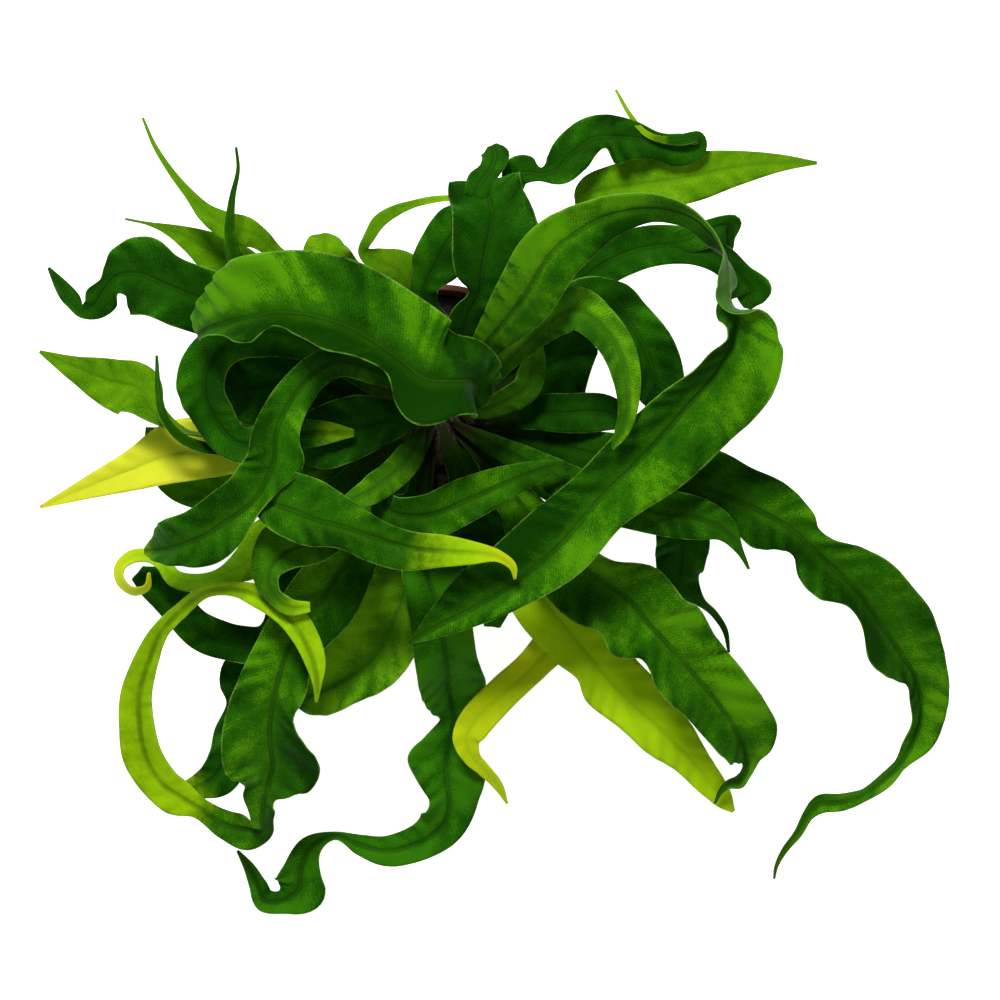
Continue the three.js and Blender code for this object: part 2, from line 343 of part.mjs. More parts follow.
// A station with its lean written out.
function whole(station) {
  return [...station, 0].slice(0, 6);
}

// Stations with the straight stipe that stands in the crown put before them.
function withStipe(frond) {
  const turn = THREE.MathUtils.degToRad(frond.turn);
  const x = RING_RADII[frond.ring] * Math.cos(turn);
  const y = RING_RADII[frond.ring] * Math.sin(turn);
  const stipe = [[x, y, STIPE_FOOT, STIPE_WIDTH, 0], [x, y, STIPE_TOP, STIPE_WIDTH, 0]];
  return [...stipe, ...frond.stations].map(whole);
}

// Flat directions of travel; where the curve runs upright the next one is carried back.
function headings(samples) {
  const flat = samples.map((sample, i) => {
    const a = samples[Math.max(i - 1, 0)];
    const b = samples[Math.min(i + 1, samples.length - 1)];
    return [b[0] - a[0], b[1] - a[1], b[2] - a[2]];
  });
  let carried = new THREE.Vector2(1, 0);
  const result = [];
  for (let i = samples.length - 1; i >= 0; i -= 1) {
    const run = Math.hypot(flat[i][0], flat[i][1]);
    if (run > 0.2 * Math.hypot(...flat[i])) {
      carried = new THREE.Vector2(flat[i][0] / run, flat[i][1] / run);
    }
    result[i] = { heading: carried, tangent: new THREE.Vector3(...flat[i]).normalize() };
  }
  return result;
}

// A closed blade of even thickness from rows of points on its middle surface.
function bladeSolid(rows, thicknesses) {
  const across = rows[0].length;
  const sheet = new THREE.PlaneGeometry(1, 1, across - 1, rows.length - 1);
  const position = sheet.getAttribute("position");
  rows.flat().forEach((point, i) => position.setXYZ(i, point.x, point.y, point.z));
  sheet.computeVertexNormals();
  const normal = sheet.getAttribute("normal");
  const count = position.count;
  const vertices = new Float32Array(count * 6);
  for (let i = 0; i < count; i += 1) {
    const half = thicknesses[Math.floor(i / across)] / 2;
    const shift = new THREE.Vector3().fromBufferAttribute(normal, i).multiplyScalar(half);
    const point = new THREE.Vector3().fromBufferAttribute(position, i);
    point.clone().add(shift).toArray(vertices, i * 3);
    point.clone().sub(shift).toArray(vertices, (count + i) * 3);
  }
  const faces = Array.from(sheet.index.array);
  const border = [];
  const last = rows.length - 1;
  for (let i = 0; i < across - 1; i += 1) border.push([i + 1, i], [last * across + i, last * across + i + 1]);
  for (let j = 0; j < last; j += 1) {
    border.push([j * across, (j + 1) * across]);
    border.push([(j + 2) * across - 1, (j + 1) * across - 1]);
  }
  const index = [...faces];
  for (let i = 0; i < faces.length; i += 3) {
    index.push(faces[i] + count, faces[i + 2] + count, faces[i + 1] + count);
  }
  for (const [a, b] of border) index.push(b, a, a + count, b, a + count, b + count);
  const solid = new THREE.BufferGeometry();
  solid.setAttribute("position", new THREE.BufferAttribute(vertices, 3));
  solid.setIndex(index);
  return solid;
}

// The middle surface of one frond: a spine, rolled, folded along the rib and waved at the margins.
function bladeRows(points, shape, along, across) {
  const samples = [];
  for (let j = 0; j <= along; j += 1) samples.push(stationAt(points, j / along));
  const frames = headings(samples);
  return samples.map((sample, j) => {
    const { heading, tangent } = frames[j];
    const level = new THREE.Vector3(-heading.y, heading.x, 0);
    const lift = new THREE.Vector3().crossVectors(tangent, level).normalize();
    const roll = THREE.MathUtils.degToRad(sample[4]);
    const side = level.clone().multiplyScalar(Math.cos(roll)).addScaledVector(lift, Math.sin(roll));
    const face = new THREE.Vector3().crossVectors(tangent, side).normalize();
    const share = j / along;
    const [height, count, phase, scallop] = shape.wave;
    const size = Math.min(1, sample[3] / 24);
    const fold = Math.tan(THREE.MathUtils.degToRad(shape.fold));
    const row = [];
    for (let i = 0; i <= across; i += 1) {
      const v = 1 - (2 * i) / across;
      const edge = Math.abs(v);
      const offset = (v * Math.max(sample[3], 1.2)) / 2 + sample[5] * edge;
      const swing = 2 * Math.PI * (count * share + phase + (v > 0 ? 0 : 0.37));
      const wave = height * size * size * edge * edge * Math.sin(swing);
      const steep = v * sample[5] < 0 ? LEAN_RISE * Math.sqrt(2 * sample[3] * Math.abs(sample[5])) : 0;
      const rise = fold * Math.abs(offset) * size + steep * edge + wave;
      const lap = Math.sign(v) * scallop * size * edge * Math.cos(swing);
      const point = new THREE.Vector3(sample[0], sample[1], sample[2]);
      row.push(point.addScaledVector(side, offset + lap).addScaledVector(face, rise));
    }
    return row;
  });
}

function thicknessAlong(points, along) {
  const rows = [];
  const last = points.length - 1;
  for (let j = 0; j <= along; j += 1) {
    const place = (j / along) * last;
    const share = Math.min(place / STIPE_STATIONS, 1);
    rows.push(STIPE_THICKNESS + (BLADE_THICKNESS - STIPE_THICKNESS) * share);
  }
  return rows;
}

function toManifold(geometry) {
  const clean = geometry.clone();
  clean.deleteAttribute("normal");
  clean.deleteAttribute("uv");
  const merged = mergeVertices(clean, 1e-4);
  const vertProperties = new Float32Array(merged.getAttribute("position").array);
  const triVerts = new Uint32Array(merged.index.array);
  return new wasm.Manifold(new wasm.Mesh({ numProp: 3, vertProperties, triVerts }));
}

function toGeometry(solid) {
  const { vertProperties, triVerts } = solid.getMesh();
  const geometry = new THREE.BufferGeometry();
  geometry.setAttribute("position", new THREE.BufferAttribute(new Float32Array(vertProperties), 3));
  geometry.setIndex(new THREE.BufferAttribute(new Uint32Array(triVerts), 1));
  return geometry;
}

function frondGeometry(frond) {
  const points = withStipe(frond);
  const rows = bladeRows(points, frond, frond.along, frond.across);
  const blade = bladeSolid(rows, thicknessAlong(points, frond.along));
  if (!frond.fork) return blade;
  const { fork } = frond;
  const branchRows = bladeRows(fork.stations.map(whole), fork, fork.along, frond.across);
  const branch = bladeSolid(branchRows, branchRows.map(() => BLADE_THICKNESS));
  return toGeometry(toManifold(blade).add(toManifold(branch)));
}

function named(name, geometry, color, roughness) {
  const material = new THREE.MeshStandardMaterial({ color, roughness, metalness: 0 });
  const mesh = new THREE.Mesh(geometry, material);
  mesh.name = name;
  return mesh;
}

// Outer radius of the plain wall at a height above the floor.
function wallRadius(height) {
  const share = height / POT_HEIGHT;
  return POT_BASE_RADIUS + (POT_TOP_RADIUS - RIM_STEP - POT_BASE_RADIUS) * share;
}

function turned(profile, sides) {
  const points = profile.map(([radius, height]) => new THREE.Vector2(radius, height));
  return new THREE.LatheGeometry(points, sides).rotateX(Math.PI / 2);
}

function upright(radius, low, high, sides, x, y) {
  const post = new THREE.CylinderGeometry(radius, radius, high - low, sides).rotateX(Math.PI / 2);
  return post.translate(x, y, (low + high) / 2);
}

function potGeometry() {
  const rim = POT_HEIGHT - RIM_DEPTH;
  const shell = toManifold(turned([
    [0, 0], [wallRadius(0), 0], [wallRadius(rim), rim], [POT_TOP_RADIUS - 0.6, rim],
    [POT_TOP_RADIUS, POT_HEIGHT], [wallRadius(POT_HEIGHT) - POT_WALL, POT_HEIGHT],
    [wallRadius(POT_FLOOR) - POT_WALL, POT_FLOOR], [0, POT_FLOOR]], POT_SIDES));
  let pot = shell;
  for (let i = 0; i < DRAIN_HOLES; i += 1) {
    const turn = (2 * Math.PI * i) / DRAIN_HOLES;
    const x = DRAIN_RING * Math.cos(turn);
    const y = DRAIN_RING * Math.sin(turn);
    pot = pot.subtract(toManifold(upright(DRAIN_RADIUS, -1, POT_FLOOR + 1, DRAIN_SIDES, x, y)));
  }
  return toGeometry(pot);
}

function soilGeometry() {
  const inner = (height) => wallRadius(height) - POT_WALL - SEAT_GAP;
  const pocket = CROWN_RADIUS + SEAT_GAP;
  const low = POT_FLOOR + SEAT_GAP;
  return turned([
    [0, low], [inner(low) - SEAT_GAP, low], [inner(SOIL_EDGE), SOIL_EDGE],
    [CROWN_RADIUS + 12, SOIL_TOP],
    [pocket, SOIL_TOP + 1], [pocket, CROWN_FOOT - SEAT_GAP], [0, CROWN_FOOT - SEAT_GAP]], POT_SIDES);
}

function crownGeometry() {
  const dome = turned([
    [0, CROWN_FOOT], [CROWN_RADIUS, CROWN_FOOT], [CROWN_RADIUS, SOIL_TOP + 3],
    [CROWN_RADIUS - 1.5, CROWN_TOP - 4], [CROWN_RADIUS - 9, CROWN_TOP - 1],
    [0, CROWN_TOP]], CROWN_SIDES);
  let crown = toManifold(dome);
  for (const frond of FRONDS) {
    const [[x, y]] = withStipe(frond);
    crown = crown.subtract(toManifold(upright(HOLE_RADIUS, HOLE_FLOOR, CROWN_TOP + 3, HOLE_SIDES, x, y)));
  }
  return toGeometry(crown);
}

const TONES = { deep: 0x2c6510, mid: 0x3f7f17, fresh: 0x5c981f, lime: 0x86a81b, yellow: 0xb9c41d };
const TERRACOTTA = 0x8a4a30;
const PEAT = 0x33261a;
const CROWN_BROWN = 0x4a3524;

const part = new THREE.Group();
part.name = "potted_birds_nest_fern";
part.add(named("pot", potGeometry(), TERRACOTTA, 0.6));
part.add(named("soil", soilGeometry(), PEAT, 0.95));
part.add(named("crown", crownGeometry(), CROWN_BROWN, 0.9));
for (const frond of FRONDS) part.add(named(frond.name, frondGeometry(frond), TONES[frond.tone], 0.42));

export default part;
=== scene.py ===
"""A potted bird's nest fern: its fronds, pot, soil and crown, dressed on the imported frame."""

import logging
import math
from collections.abc import Iterator
from dataclasses import dataclass, replace
from enum import Enum

import bmesh
import bpy
from mathutils import Matrix, Vector, noise


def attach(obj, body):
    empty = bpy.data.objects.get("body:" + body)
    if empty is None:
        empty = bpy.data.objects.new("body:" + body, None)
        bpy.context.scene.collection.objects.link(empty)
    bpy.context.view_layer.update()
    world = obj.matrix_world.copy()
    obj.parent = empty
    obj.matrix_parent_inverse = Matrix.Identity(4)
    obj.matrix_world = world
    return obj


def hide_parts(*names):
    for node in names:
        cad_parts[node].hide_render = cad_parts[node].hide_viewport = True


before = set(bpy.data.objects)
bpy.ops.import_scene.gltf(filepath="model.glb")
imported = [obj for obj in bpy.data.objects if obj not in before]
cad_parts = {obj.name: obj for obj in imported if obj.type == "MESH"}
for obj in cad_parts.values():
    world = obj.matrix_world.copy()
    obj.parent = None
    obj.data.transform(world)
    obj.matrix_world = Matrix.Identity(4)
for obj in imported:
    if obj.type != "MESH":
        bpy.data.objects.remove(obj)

LOG = logging.getLogger("fern")
MM = 0.001
BODY = "root"

# Sizes shared by the fronds, in millimetres, as in the frame. A stipe thins into its blade over
# STIPE_STATIONS stations, and a blade folds and waves fully from FULL_WIDTH up. Where the margins
# lean, the half that this narrows rises by LEAN_RISE. No row is laid narrower than SPEAR_WIDTH.
STIPE_FOOT = 88.4
STIPE_TOP = 100.0
STIPE_WIDTH = 3.4
STIPE_THICKNESS = 2.4
STIPE_STATIONS = 2.4
BLADE_THICKNESS = 0.9
MARGIN_THICKNESS = 0.6
RING_RADII = (5.2, 12.2, 19.6, 26.4)
FULL_WIDTH = 24.0
LEAN_RISE = 0.3
SPEAR_WIDTH = 1.2

# Into how many steps a ribbon is cut to measure it, and what sets one frond's noise apart.
LENGTH_STEPS = 200
SEED_STEP = 7.31

# The side veins' spacing and slant, where the stipe's brown ends and starts, and how far along
# its own rib a second lobe's markings are moved from the first lobe's.
VEIN_PITCH = 1.5 * MM
VEIN_SLANT = 0.55
STIPE_GREEN = 62 * MM
STIPE_BROWN = 14 * MM
FORK_SHIFT = 90 * MM

Station = tuple[float, ...]
Place = tuple[float, float, float]
Colour = tuple[float, float, float]


class Tone(Enum):
    """How dark or yellow a frond's green is, from the darkest blades to the yellowest ones: partly
    each frond's own colour and partly painted shade and light, darker for fronds deep in the
    rosette and lighter for fronds that lie in shadow.
    """

    DEEP = "leaf_deep"
    MID = "leaf_mid"
    FRESH = "leaf_fresh"
    LIME = "leaf_lime"
    YELLOW = "leaf_yellow"


class Wire:
    """A shader socket that answers to arithmetic with Math nodes."""

    def __init__(self, bench: "Bench", socket: bpy.types.NodeSocket) -> None:
        """Keeps the socket and the bench that it belongs to."""
        self.bench = bench
        self.socket = socket

    def math(self, operation: str, *others: "Wire | float") -> "Wire":
        """Adds one Math node.

        Args:
            operation: the Math node's operation.
            others: the values that follow this one.

        Returns:
            The node's value.
        """
        inputs = {0: self}
        for place, other in enumerate(others):
            inputs[place + 1] = other
        return self.bench.node("ShaderNodeMath", {"operation": operation}, inputs)

    def __add__(self, other: "Wire | float") -> "Wire":
        """Adds."""
        return self.math("ADD", other)

    __radd__ = __add__

    def __mul__(self, other: "Wire | float") -> "Wire":
        """Multiplies."""
        return self.math("MULTIPLY", other)

    def __sub__(self, other: "Wire | float") -> "Wire":
        """Subtracts."""
        return self.math("SUBTRACT", other)

    def __rsub__(self, other: float) -> "Wire":
        """Takes this value from a number."""
        return (self * -1.0) + other

    def __pow__(self, power: float) -> "Wire":
        """Raises to a power."""
        return self.math("POWER", power)

    def __abs__(self) -> "Wire":
        """The value without its sign."""
        return self.math("ABSOLUTE")

    def sine(self) -> "Wire":
        """The sine of the value."""
        return self.math("SINE")

    def smooth(self, low: float, high: float) -> "Wire":
        """A soft step.

        Args:
            low: the value below which it is 0.
            high: the value above which it is 1.

        Returns:
            The step, or its reverse where low is above high.
        """
        rising = low < high
        ends = {1: min(low, high), 2: max(low, high), 3: float(not rising), 4: float(rising)}
        return self.bench.node(
            "ShaderNodeMapRange", {"interpolation_type": "SMOOTHSTEP"}, {0: self, **ends}
        )


class Bench:
    """A material under construction: its nodes are added and joined through one method."""

    def __init__(self, name: str) -> None:
        """Starts a node material with nothing but its output.

        Args:
            name: the material's name.
        """
        self.material = bpy.data.materials.new(name)
        self.material.use_nodes = True
        self.tree = self.material.node_tree
        self.tree.nodes.clear()

    def node(
        self,
        kind: str,
        settings: dict[str, object] | None = None,
        inputs: dict[int | str, object] | None = None,
        output: int | str = 0,
    ) -> Wire:
        """Adds a node.

        Args:
            kind: the node's type.
            settings: its own properties, set first.
            inputs: a value or a Wire for each socket.
            output: the socket that is handed back.

        Returns:
            The chosen output.
        """
        made = self.tree.nodes.new(kind)
        for key, value in (settings or {}).items():
            setattr(made, key, value)
        for key, value in (inputs or {}).items():
            if isinstance(value, Wire):
                self.tree.links.new(value.socket, made.inputs[key])
            else:
                made.inputs[key].default_value = value
        return Wire(self, made.outputs[output])

    def attribute(self, name: str, output: str = "Fac") -> Wire:
        """Reads a mesh attribute of the piece."""
        return self.node("ShaderNodeAttribute", {"attribute_name": name}, output=output)

    def parts(self, vector: Wire) -> tuple[Wire, Wire, Wire]:
        """Splits a vector into its three numbers."""
        split = self.node("ShaderNodeSeparateXYZ", inputs={0: vector})
        return tuple(Wire(self, socket) for socket in split.socket.node.outputs)

    def place(self) -> Wire:
        """The point on the piece, in metres."""
        return self.node("ShaderNodeTexCoord", output="Object")

    def grain(self, where: Wire, scale: float, detail: float = 3.0, rough: float = 0.5) -> Wire:
        """Soft noise about 0.5.

        Args:
            where: the point that it is read at.
            scale: lumps to the metre.
            detail: octaves.
            rough: how strong the fine octaves are.

        Returns:
            The noise.
        """
        return self.node(
            "ShaderNodeTexNoise", {},
            {"Vector": where, "Scale": scale, "Detail": detail, "Roughness": rough},
        )

    def mix(
        self, share: "Wire | float", first: "Wire | Colour", second: "Wire | Colour"
    ) -> Wire:
        """Blends two colours.

        Args:
            share: how much of the second.
            first: the colour at 0.
            second: the colour at 1.

        Returns:
            The colour.
        """
        values = [c if isinstance(c, Wire) else (*c, 1.0) for c in (first, second)]
        return self.node(
            "ShaderNodeMix", {"data_type": "RGBA", "clamp_factor": True},
            {0: share, 6: values[0], 7: values[1]}, output=2,
        )

    def drawn(self, where: Wire, scale: Place) -> Wire:
        """The point with its axes scaled, which draws grain out along the smallest of them."""
        return self.node("ShaderNodeMapping", {}, {"Vector": where, "Scale": scale})

    def ribbon(self) -> tuple[Wire, Wire]:
        """How far a point of a blade lies from its rib and how far along it."""
        return self.parts(self.attribute("blade", "Vector"))[:2]

    def veins(self, offset: Wire, along: Wire, stray: Wire) -> Wire:
        """The close side veins that leave the rib at a slant.

        Args:
            offset: distance from the rib.
            along: distance along the rib.
            stray: how far they wander.

        Returns:
            A wave from -1 to 1, one turn for each vein.
        """
        track = along - abs(offset) * VEIN_SLANT + stray
        return (track * (2 * math.pi / VEIN_PITCH)).sine()

    def browned(self, along: Wire, green: Wire, stipe: Colour) -> Wire:
        """Turns a frond's colour brown towards the foot of its stipe.

        Args:
            along: distance along the rib.
            green: the frond's colour.
            stipe: the brown.

        Returns:
            The colour.
        """
        return self.mix(along.smooth(STIPE_GREEN, STIPE_BROWN) * 0.85, green, stipe)

    def bump(self, height: Wire, strength: float, distance: float) -> Wire:
        """A bump normal from a height in units of the distance."""
        return self.node(
            "ShaderNodeBump", {}, {"Strength": strength, "Distance": distance, "Height": height}
        )

    def close(self, sockets: dict[str, object]) -> bpy.types.Material:
        """Ends in one Principled shader.

        Args:
            sockets: the shader's inputs.

        Returns:
            The finished material.
        """
        shader = self.node("ShaderNodeBsdfPrincipled", {}, sockets)
        out = self.tree.nodes.new("ShaderNodeOutputMaterial")
        self.tree.links.new(shader.socket, out.inputs[0])
        return self.material


@dataclass(frozen=True)
class LeafFinish:
    """The waxy upper face of a blade, coloured along and across the ribbon.

    The mesh carries "blade" (offset from the rib and distance along it), "edge" (0 at the rib, 1 at
    the margin), "ripe" (how far it has yellowed) and the painted light of the blade (painted shade
    at -1 in a hollow of the ruffle, a painted highlight at 1 on its crest, with the painted light
    and shade of each half and end added).
    """

    name: str
    # shade, body and crest are one green painted in shade, as lit and in a highlight; the blade's
    # random tone also moves between them.
    shade: Colour
    body: Colour
    crest: Colour
    ripe: Colour = (0.52, 0.62, 0.007)
    margin: Colour = (0.30, 0.52, 0.06)
    stipe: Colour = (0.030, 0.028, 0.008)
    turning: Colour = (0.32, 0.57, 0.004)
    cord: Colour = (0.090, 0.180, 0.030)
    rib_shade: float = 0.5
    # The dark green of painted shade on the leaves deep in the rosette.
    heart_shade: Colour = (0.003, 0.018, 0.001)
    gloss: float = 0.50

    def back(self) -> "LeafBackFinish":
        """Chooses the under face that goes with this upper face.

        Returns:
            The under face's finish, paler and greyer than the crest of the upper one.
        """
        soft = (0.16, 0.30, 0.09)
        pale = tuple(0.40 * bright + 0.28 * grey for bright, grey in zip(self.crest, soft))
        return LeafBackFinish(self.name + "_back", self.body, pale)

    def depth(self, bench: Bench, place: Wire) -> Wire:
        """How far down in the heart of the rosette a point is, where painted shade darkens the
        leaves.

        Args:
            bench: the material under construction.
            place: the point on the piece.

        Returns:
            From 0 outside to 1 in the heart.
        """
        x, y, height = bench.parts(place)
        radius = (x * x + y * y) ** 0.5
        return radius.smooth(95 * MM, 45 * MM) * height.smooth(205 * MM, 135 * MM)

    def build(self) -> bpy.types.Material:
        """Makes the material.

        Returns:
            The finished material.
        """
        bench = Bench(self.name)
        place = bench.place()
        offset, along = bench.ribbon()
        edge = bench.attribute("edge")
        ripe = bench.attribute("ripe")
        painted_light = bench.attribute("painted_light")
        veins = bench.veins(offset, along, bench.grain(place, 140.0, 2.0) * (1.6 * VEIN_PITCH))
        cloud = bench.grain(place, 38.0, 3.0)
        mottle = bench.grain(place, 260.0, 4.0, 0.6)
        speck = bench.grain(place, 1500.0, 2.0)
        slanted = bench.node("ShaderNodeCombineXYZ", {}, {
            "X": along - abs(offset) * VEIN_SLANT, "Y": offset * 0.45, "Z": bench.parts(place)[2],
        })
        streak = bench.grain(slanted, 75.0, 2.0)

        # lean is the blade's random tone from the noises plus painted light: lighter on the
        # ruffle's crests and on the lit halves and ends, darker in its hollows and on the shaded
        # ones.
        lean = (cloud - 0.5) * 1.35 + (streak - 0.5) * 0.75 + (mottle - 0.5) * 0.4 + 0.42
        lean = lean + (speck - 0.5) * 1.0 + painted_light * 0.45 + veins * 0.07
        green = bench.mix(lean.smooth(0.0, 0.55), self.shade, self.body)
        green = bench.mix(lean.smooth(0.5, 1.05), green, self.crest)
        yellowing = ripe * 1.25 + (mottle - 0.5) * 0.35 + (cloud - 0.5) * 0.3
        yellowing = yellowing * ripe.smooth(0.0, 0.15)
        green = bench.mix(yellowing.smooth(0.0, 0.6), green, self.turning)
        green = bench.mix(yellowing.smooth(0.5, 1.0), green, self.ripe)
        # A faint painted highlight, in the crest green, on the flanks beside the rib.
        flank = abs(offset).smooth(6.5 * MM, 1.2 * MM)
        green = bench.mix(flank * 0.10, green, self.crest)
        rib = abs(offset).smooth(2.3 * MM, 0.6 * MM) * (1.0 - ripe * 0.9)
        rib = rib * (streak.smooth(0.2, 0.7) * 0.6 + 0.4)
        green = bench.mix(rib * self.rib_shade, green, self.shade)
        cord = abs(offset).smooth(0.75 * MM, 0.25 * MM) * cloud.smooth(0.25, 0.6)
        green = bench.mix(cord * 0.13, green, self.cord)
        rim = edge.smooth(0.955, 1.0) * mottle.smooth(0.3, 0.6)
        green = bench.mix(rim * 0.38, green, self.margin)
        green = bench.mix(speck.smooth(0.70, 0.80) * 0.22, green, self.margin)
        # Painted shade: leaves deep in the heart of the rosette are darkened.
        green = bench.mix(self.depth(bench, place) * 0.5, green, self.heart_shade)
        green = bench.browned(along, green, self.stipe)

        rough = self.gloss + (mottle - 0.5) * 0.18 + rib * 0.12
        relief = veins * 0.16 + mottle * 0.8 + speck * 0.10
        normal = bench.bump(relief, 0.4, 0.2 * MM)
        return bench.close({
            "Base Color": green, "Roughness": rough, "Normal": normal,
            "Specular IOR Level": 0.035, "Specular Tint": (0.45, 0.80, 0.12, 1.0),
        })


@dataclass(frozen=True)
class LeafBackFinish:
    """The paler and duller under face of a blade, with its rib standing out."""

    name: str
    body: Colour
    pale: Colour
    ripe: Colour = (0.42, 0.50, 0.04)
    stipe: Colour = (0.030, 0.026, 0.010)

    def build(self) -> bpy.types.Material:
        """Makes the material.

        Returns:
            The finished material.
        """
        bench = Bench(self.name)
        place = bench.place()
        offset, along = bench.ribbon()
        ripe = bench.attribute("ripe")
        cloud = bench.grain(place, 60.0, 3.0)
        mottle = bench.grain(place, 420.0, 4.0, 0.6)
        veins = bench.veins(offset, along, (mottle - 0.5) * (0.6 * VEIN_PITCH))
        lean = (cloud - 0.5) * 1.2 + (mottle - 0.5) * 0.7 + veins * 0.08 + 0.45
        green = bench.mix(lean.smooth(0.0, 1.0), self.body, self.pale)
        green = bench.mix(ripe, green, self.ripe)
        rib = abs(offset).smooth(1.6 * MM, 0.5 * MM)
        green = bench.mix(rib * 0.45, green, self.pale)
        green = bench.browned(along, green, self.stipe)
        relief = veins * 0.4 + mottle * 0.8 + rib * 1.2
        return bench.close({
            "Base Color": green, "Roughness": 0.52 + (mottle - 0.5) * 0.2,
            "Normal": bench.bump(relief, 0.6, 0.25 * MM), "Specular IOR Level": 0.05,
        })


@dataclass(frozen=True)
class MarginFinish:
    """The thin translucent line that a blade shows at its cut edge."""

    name: str = "leaf_margin"
    green: Colour = (0.120, 0.310, 0.025)
    dry: Colour = (0.20, 0.12, 0.03)
    ripe: Colour = (0.52, 0.58, 0.04)
    fleck: Colour = (0.07, 0.20, 0.01)
    stipe: Colour = (0.030, 0.026, 0.010)

    def build(self) -> bpy.types.Material:
        """Makes the material.

        Returns:
            The finished material.
        """
        bench = Bench(self.name)
        place = bench.place()
        ripe = bench.attribute("ripe")
        patches = bench.grain(place, 45.0, 3.0)
        grit = bench.grain(place, 700.0, 3.0)
        colour = bench.mix(patches.smooth(0.60, 0.72) * 0.7, self.green, self.dry)
        colour = bench.mix(ripe * 0.8, colour, self.ripe)
        colour = bench.mix(grit * 0.35, colour, self.fleck)
        colour = bench.browned(bench.ribbon()[1], colour, self.stipe)
        return bench.close({
            "Base Color": colour, "Roughness": 0.5 + (grit - 0.5) * 0.2,
            "Normal": bench.bump(grit, 0.4, 0.1 * MM), "Specular IOR Level": 0.08,
        })


@dataclass(frozen=True)
class PotFinish:
    """Moulded terracotta coloured plastic, faintly scuffed and dusty at its rim and foot."""

    name: str = "pot_plastic"
    clay: Colour = (0.175, 0.026, 0.009)
    worn: Colour = (0.215, 0.042, 0.018)
    dust: Colour = (0.085, 0.035, 0.020)

    def build(self) -> bpy.types.Material:
        """Makes the material.

        Returns:
            The finished material.
        """
        bench = Bench(self.name)
        place = bench.place()
        height = bench.parts(place)[2]
        cloud = bench.grain(place, 22.0, 3.0)
        grit = bench.grain(place, 900.0, 3.0, 0.6)
        marks = bench.grain(bench.drawn(place, (1.0, 1.0, 0.12)), 260.0, 4.0, 0.65)
        colour = bench.mix(cloud.smooth(0.3, 0.7) * 0.5, self.clay, self.worn)
        colour = bench.mix(marks.smooth(0.66, 0.76) * 0.5, colour, self.worn)
        silt = height.smooth(70 * MM, 98 * MM) * cloud.smooth(0.35, 0.65)
        colour = bench.mix(silt * 0.45, colour, self.dust)
        colour = bench.mix(height.smooth(9 * MM, 0.0) * cloud * 0.8, colour, self.dust)
        return bench.close({
            "Base Color": colour, "Roughness": 0.48 + (marks - 0.5) * 0.4 + silt * 0.15,
            "Normal": bench.bump(grit * 0.7 + marks * 0.5, 0.35, 0.12 * MM),
        })


@dataclass(frozen=True)
class PeatFinish:
    """Damp peat with fine bark and root threads."""

    name: str = "peat_mix"
    dark: Colour = (0.005, 0.003, 0.002)
    brown: Colour = (0.024, 0.012, 0.006)
    thread: Colour = (0.070, 0.042, 0.020)

    def build(self) -> bpy.types.Material:
        """Makes the material.

        Returns:
            The finished material.
        """
        bench = Bench(self.name)
        place = bench.place()
        lumps = bench.grain(place, 320.0, 5.0, 0.65)
        crumbs = bench.node("ShaderNodeTexVoronoi", {}, {"Vector": place, "Scale": 420.0})
        threads = bench.grain(bench.drawn(place, (1.0, 0.15, 1.0)), 700.0, 3.0)
        colour = bench.mix(lumps.smooth(0.35, 0.68), self.dark, self.brown)
        colour = bench.mix(threads.smooth(0.66, 0.74) * 0.6, colour, self.thread)
        return bench.close({
            "Base Color": colour, "Roughness": 0.86 - lumps * 0.12,
            "Normal": bench.bump(lumps * 1.2 - crumbs * 0.8, 0.9, 0.9 * MM),
        })


@dataclass(frozen=True)
class GritFinish:
    """One kind of loose grain on the peat: pale perlite or bark."""

    name: str
    low: Colour
    high: Colour

    def build(self) -> bpy.types.Material:
        """Makes the material.

        Returns:
            The finished material.
        """
        bench = Bench(self.name)
        grit = bench.grain(bench.place(), 600.0, 4.0, 0.6)
        return bench.close({
            "Base Color": bench.mix(grit.smooth(0.3, 0.7), self.low, self.high),
            "Roughness": 0.78 + (grit - 0.5) * 0.2,
            "Normal": bench.bump(grit, 0.8, 0.3 * MM),
        })


@dataclass(frozen=True)
class CrownFinish:
    """The fibrous brown crown of old frond bases and chaffy scales."""

    name: str = "crown_fibre"
    dark: Colour = (0.008, 0.006, 0.003)
    brown: Colour = (0.038, 0.024, 0.010)
    straw: Colour = (0.110, 0.075, 0.030)

    def build(self) -> bpy.types.Material:
        """Makes the material.

        Returns:
            The finished material.
        """
        bench = Bench(self.name)
        place = bench.place()
        fibres = bench.grain(bench.drawn(place, (1.0, 1.0, 0.14)), 900.0, 4.0, 0.6)
        lumps = bench.grain(place, 170.0, 3.0)
        colour = bench.mix(fibres.smooth(0.32, 0.62), self.dark, self.brown)
        colour = bench.mix(fibres.smooth(0.60, 0.74) * lumps, colour, self.straw)
        return bench.close({
            "Base Color": colour, "Roughness": 0.74 + (fibres - 0.5) * 0.3,
            "Normal": bench.bump(fibres + lumps * 0.6, 0.8, 0.5 * MM),
        })


@dataclass(frozen=True)
class FloorFinish:
    """The plain pale floor of the studio."""

    name: str = "studio_floor"
    pale: Colour = (0.90, 0.90, 0.90)
    shade: Colour = (0.88, 0.88, 0.88)
    glow: float = 0.85

    def build(self) -> bpy.types.Material:
        """Makes the material.

        Returns:
            The finished material.
        """
        bench = Bench(self.name)
        soft = bench.grain(bench.place(), 3.0, 2.0)
        colour = bench.mix(soft * 0.3, self.pale, self.shade)
        return bench.close({
            "Base Color": colour, "Roughness": 0.9,
            "Emission Color": (1.0, 1.0, 1.0, 1.0), "Emission Strength": self.glow,
        })


@dataclass(frozen=True)
class Wave:
    """How a blade's margins wave: height, number of waves, phase in turns and in-plane scallop."""

    height: float
    count: float
    phase: float
    scallop: float


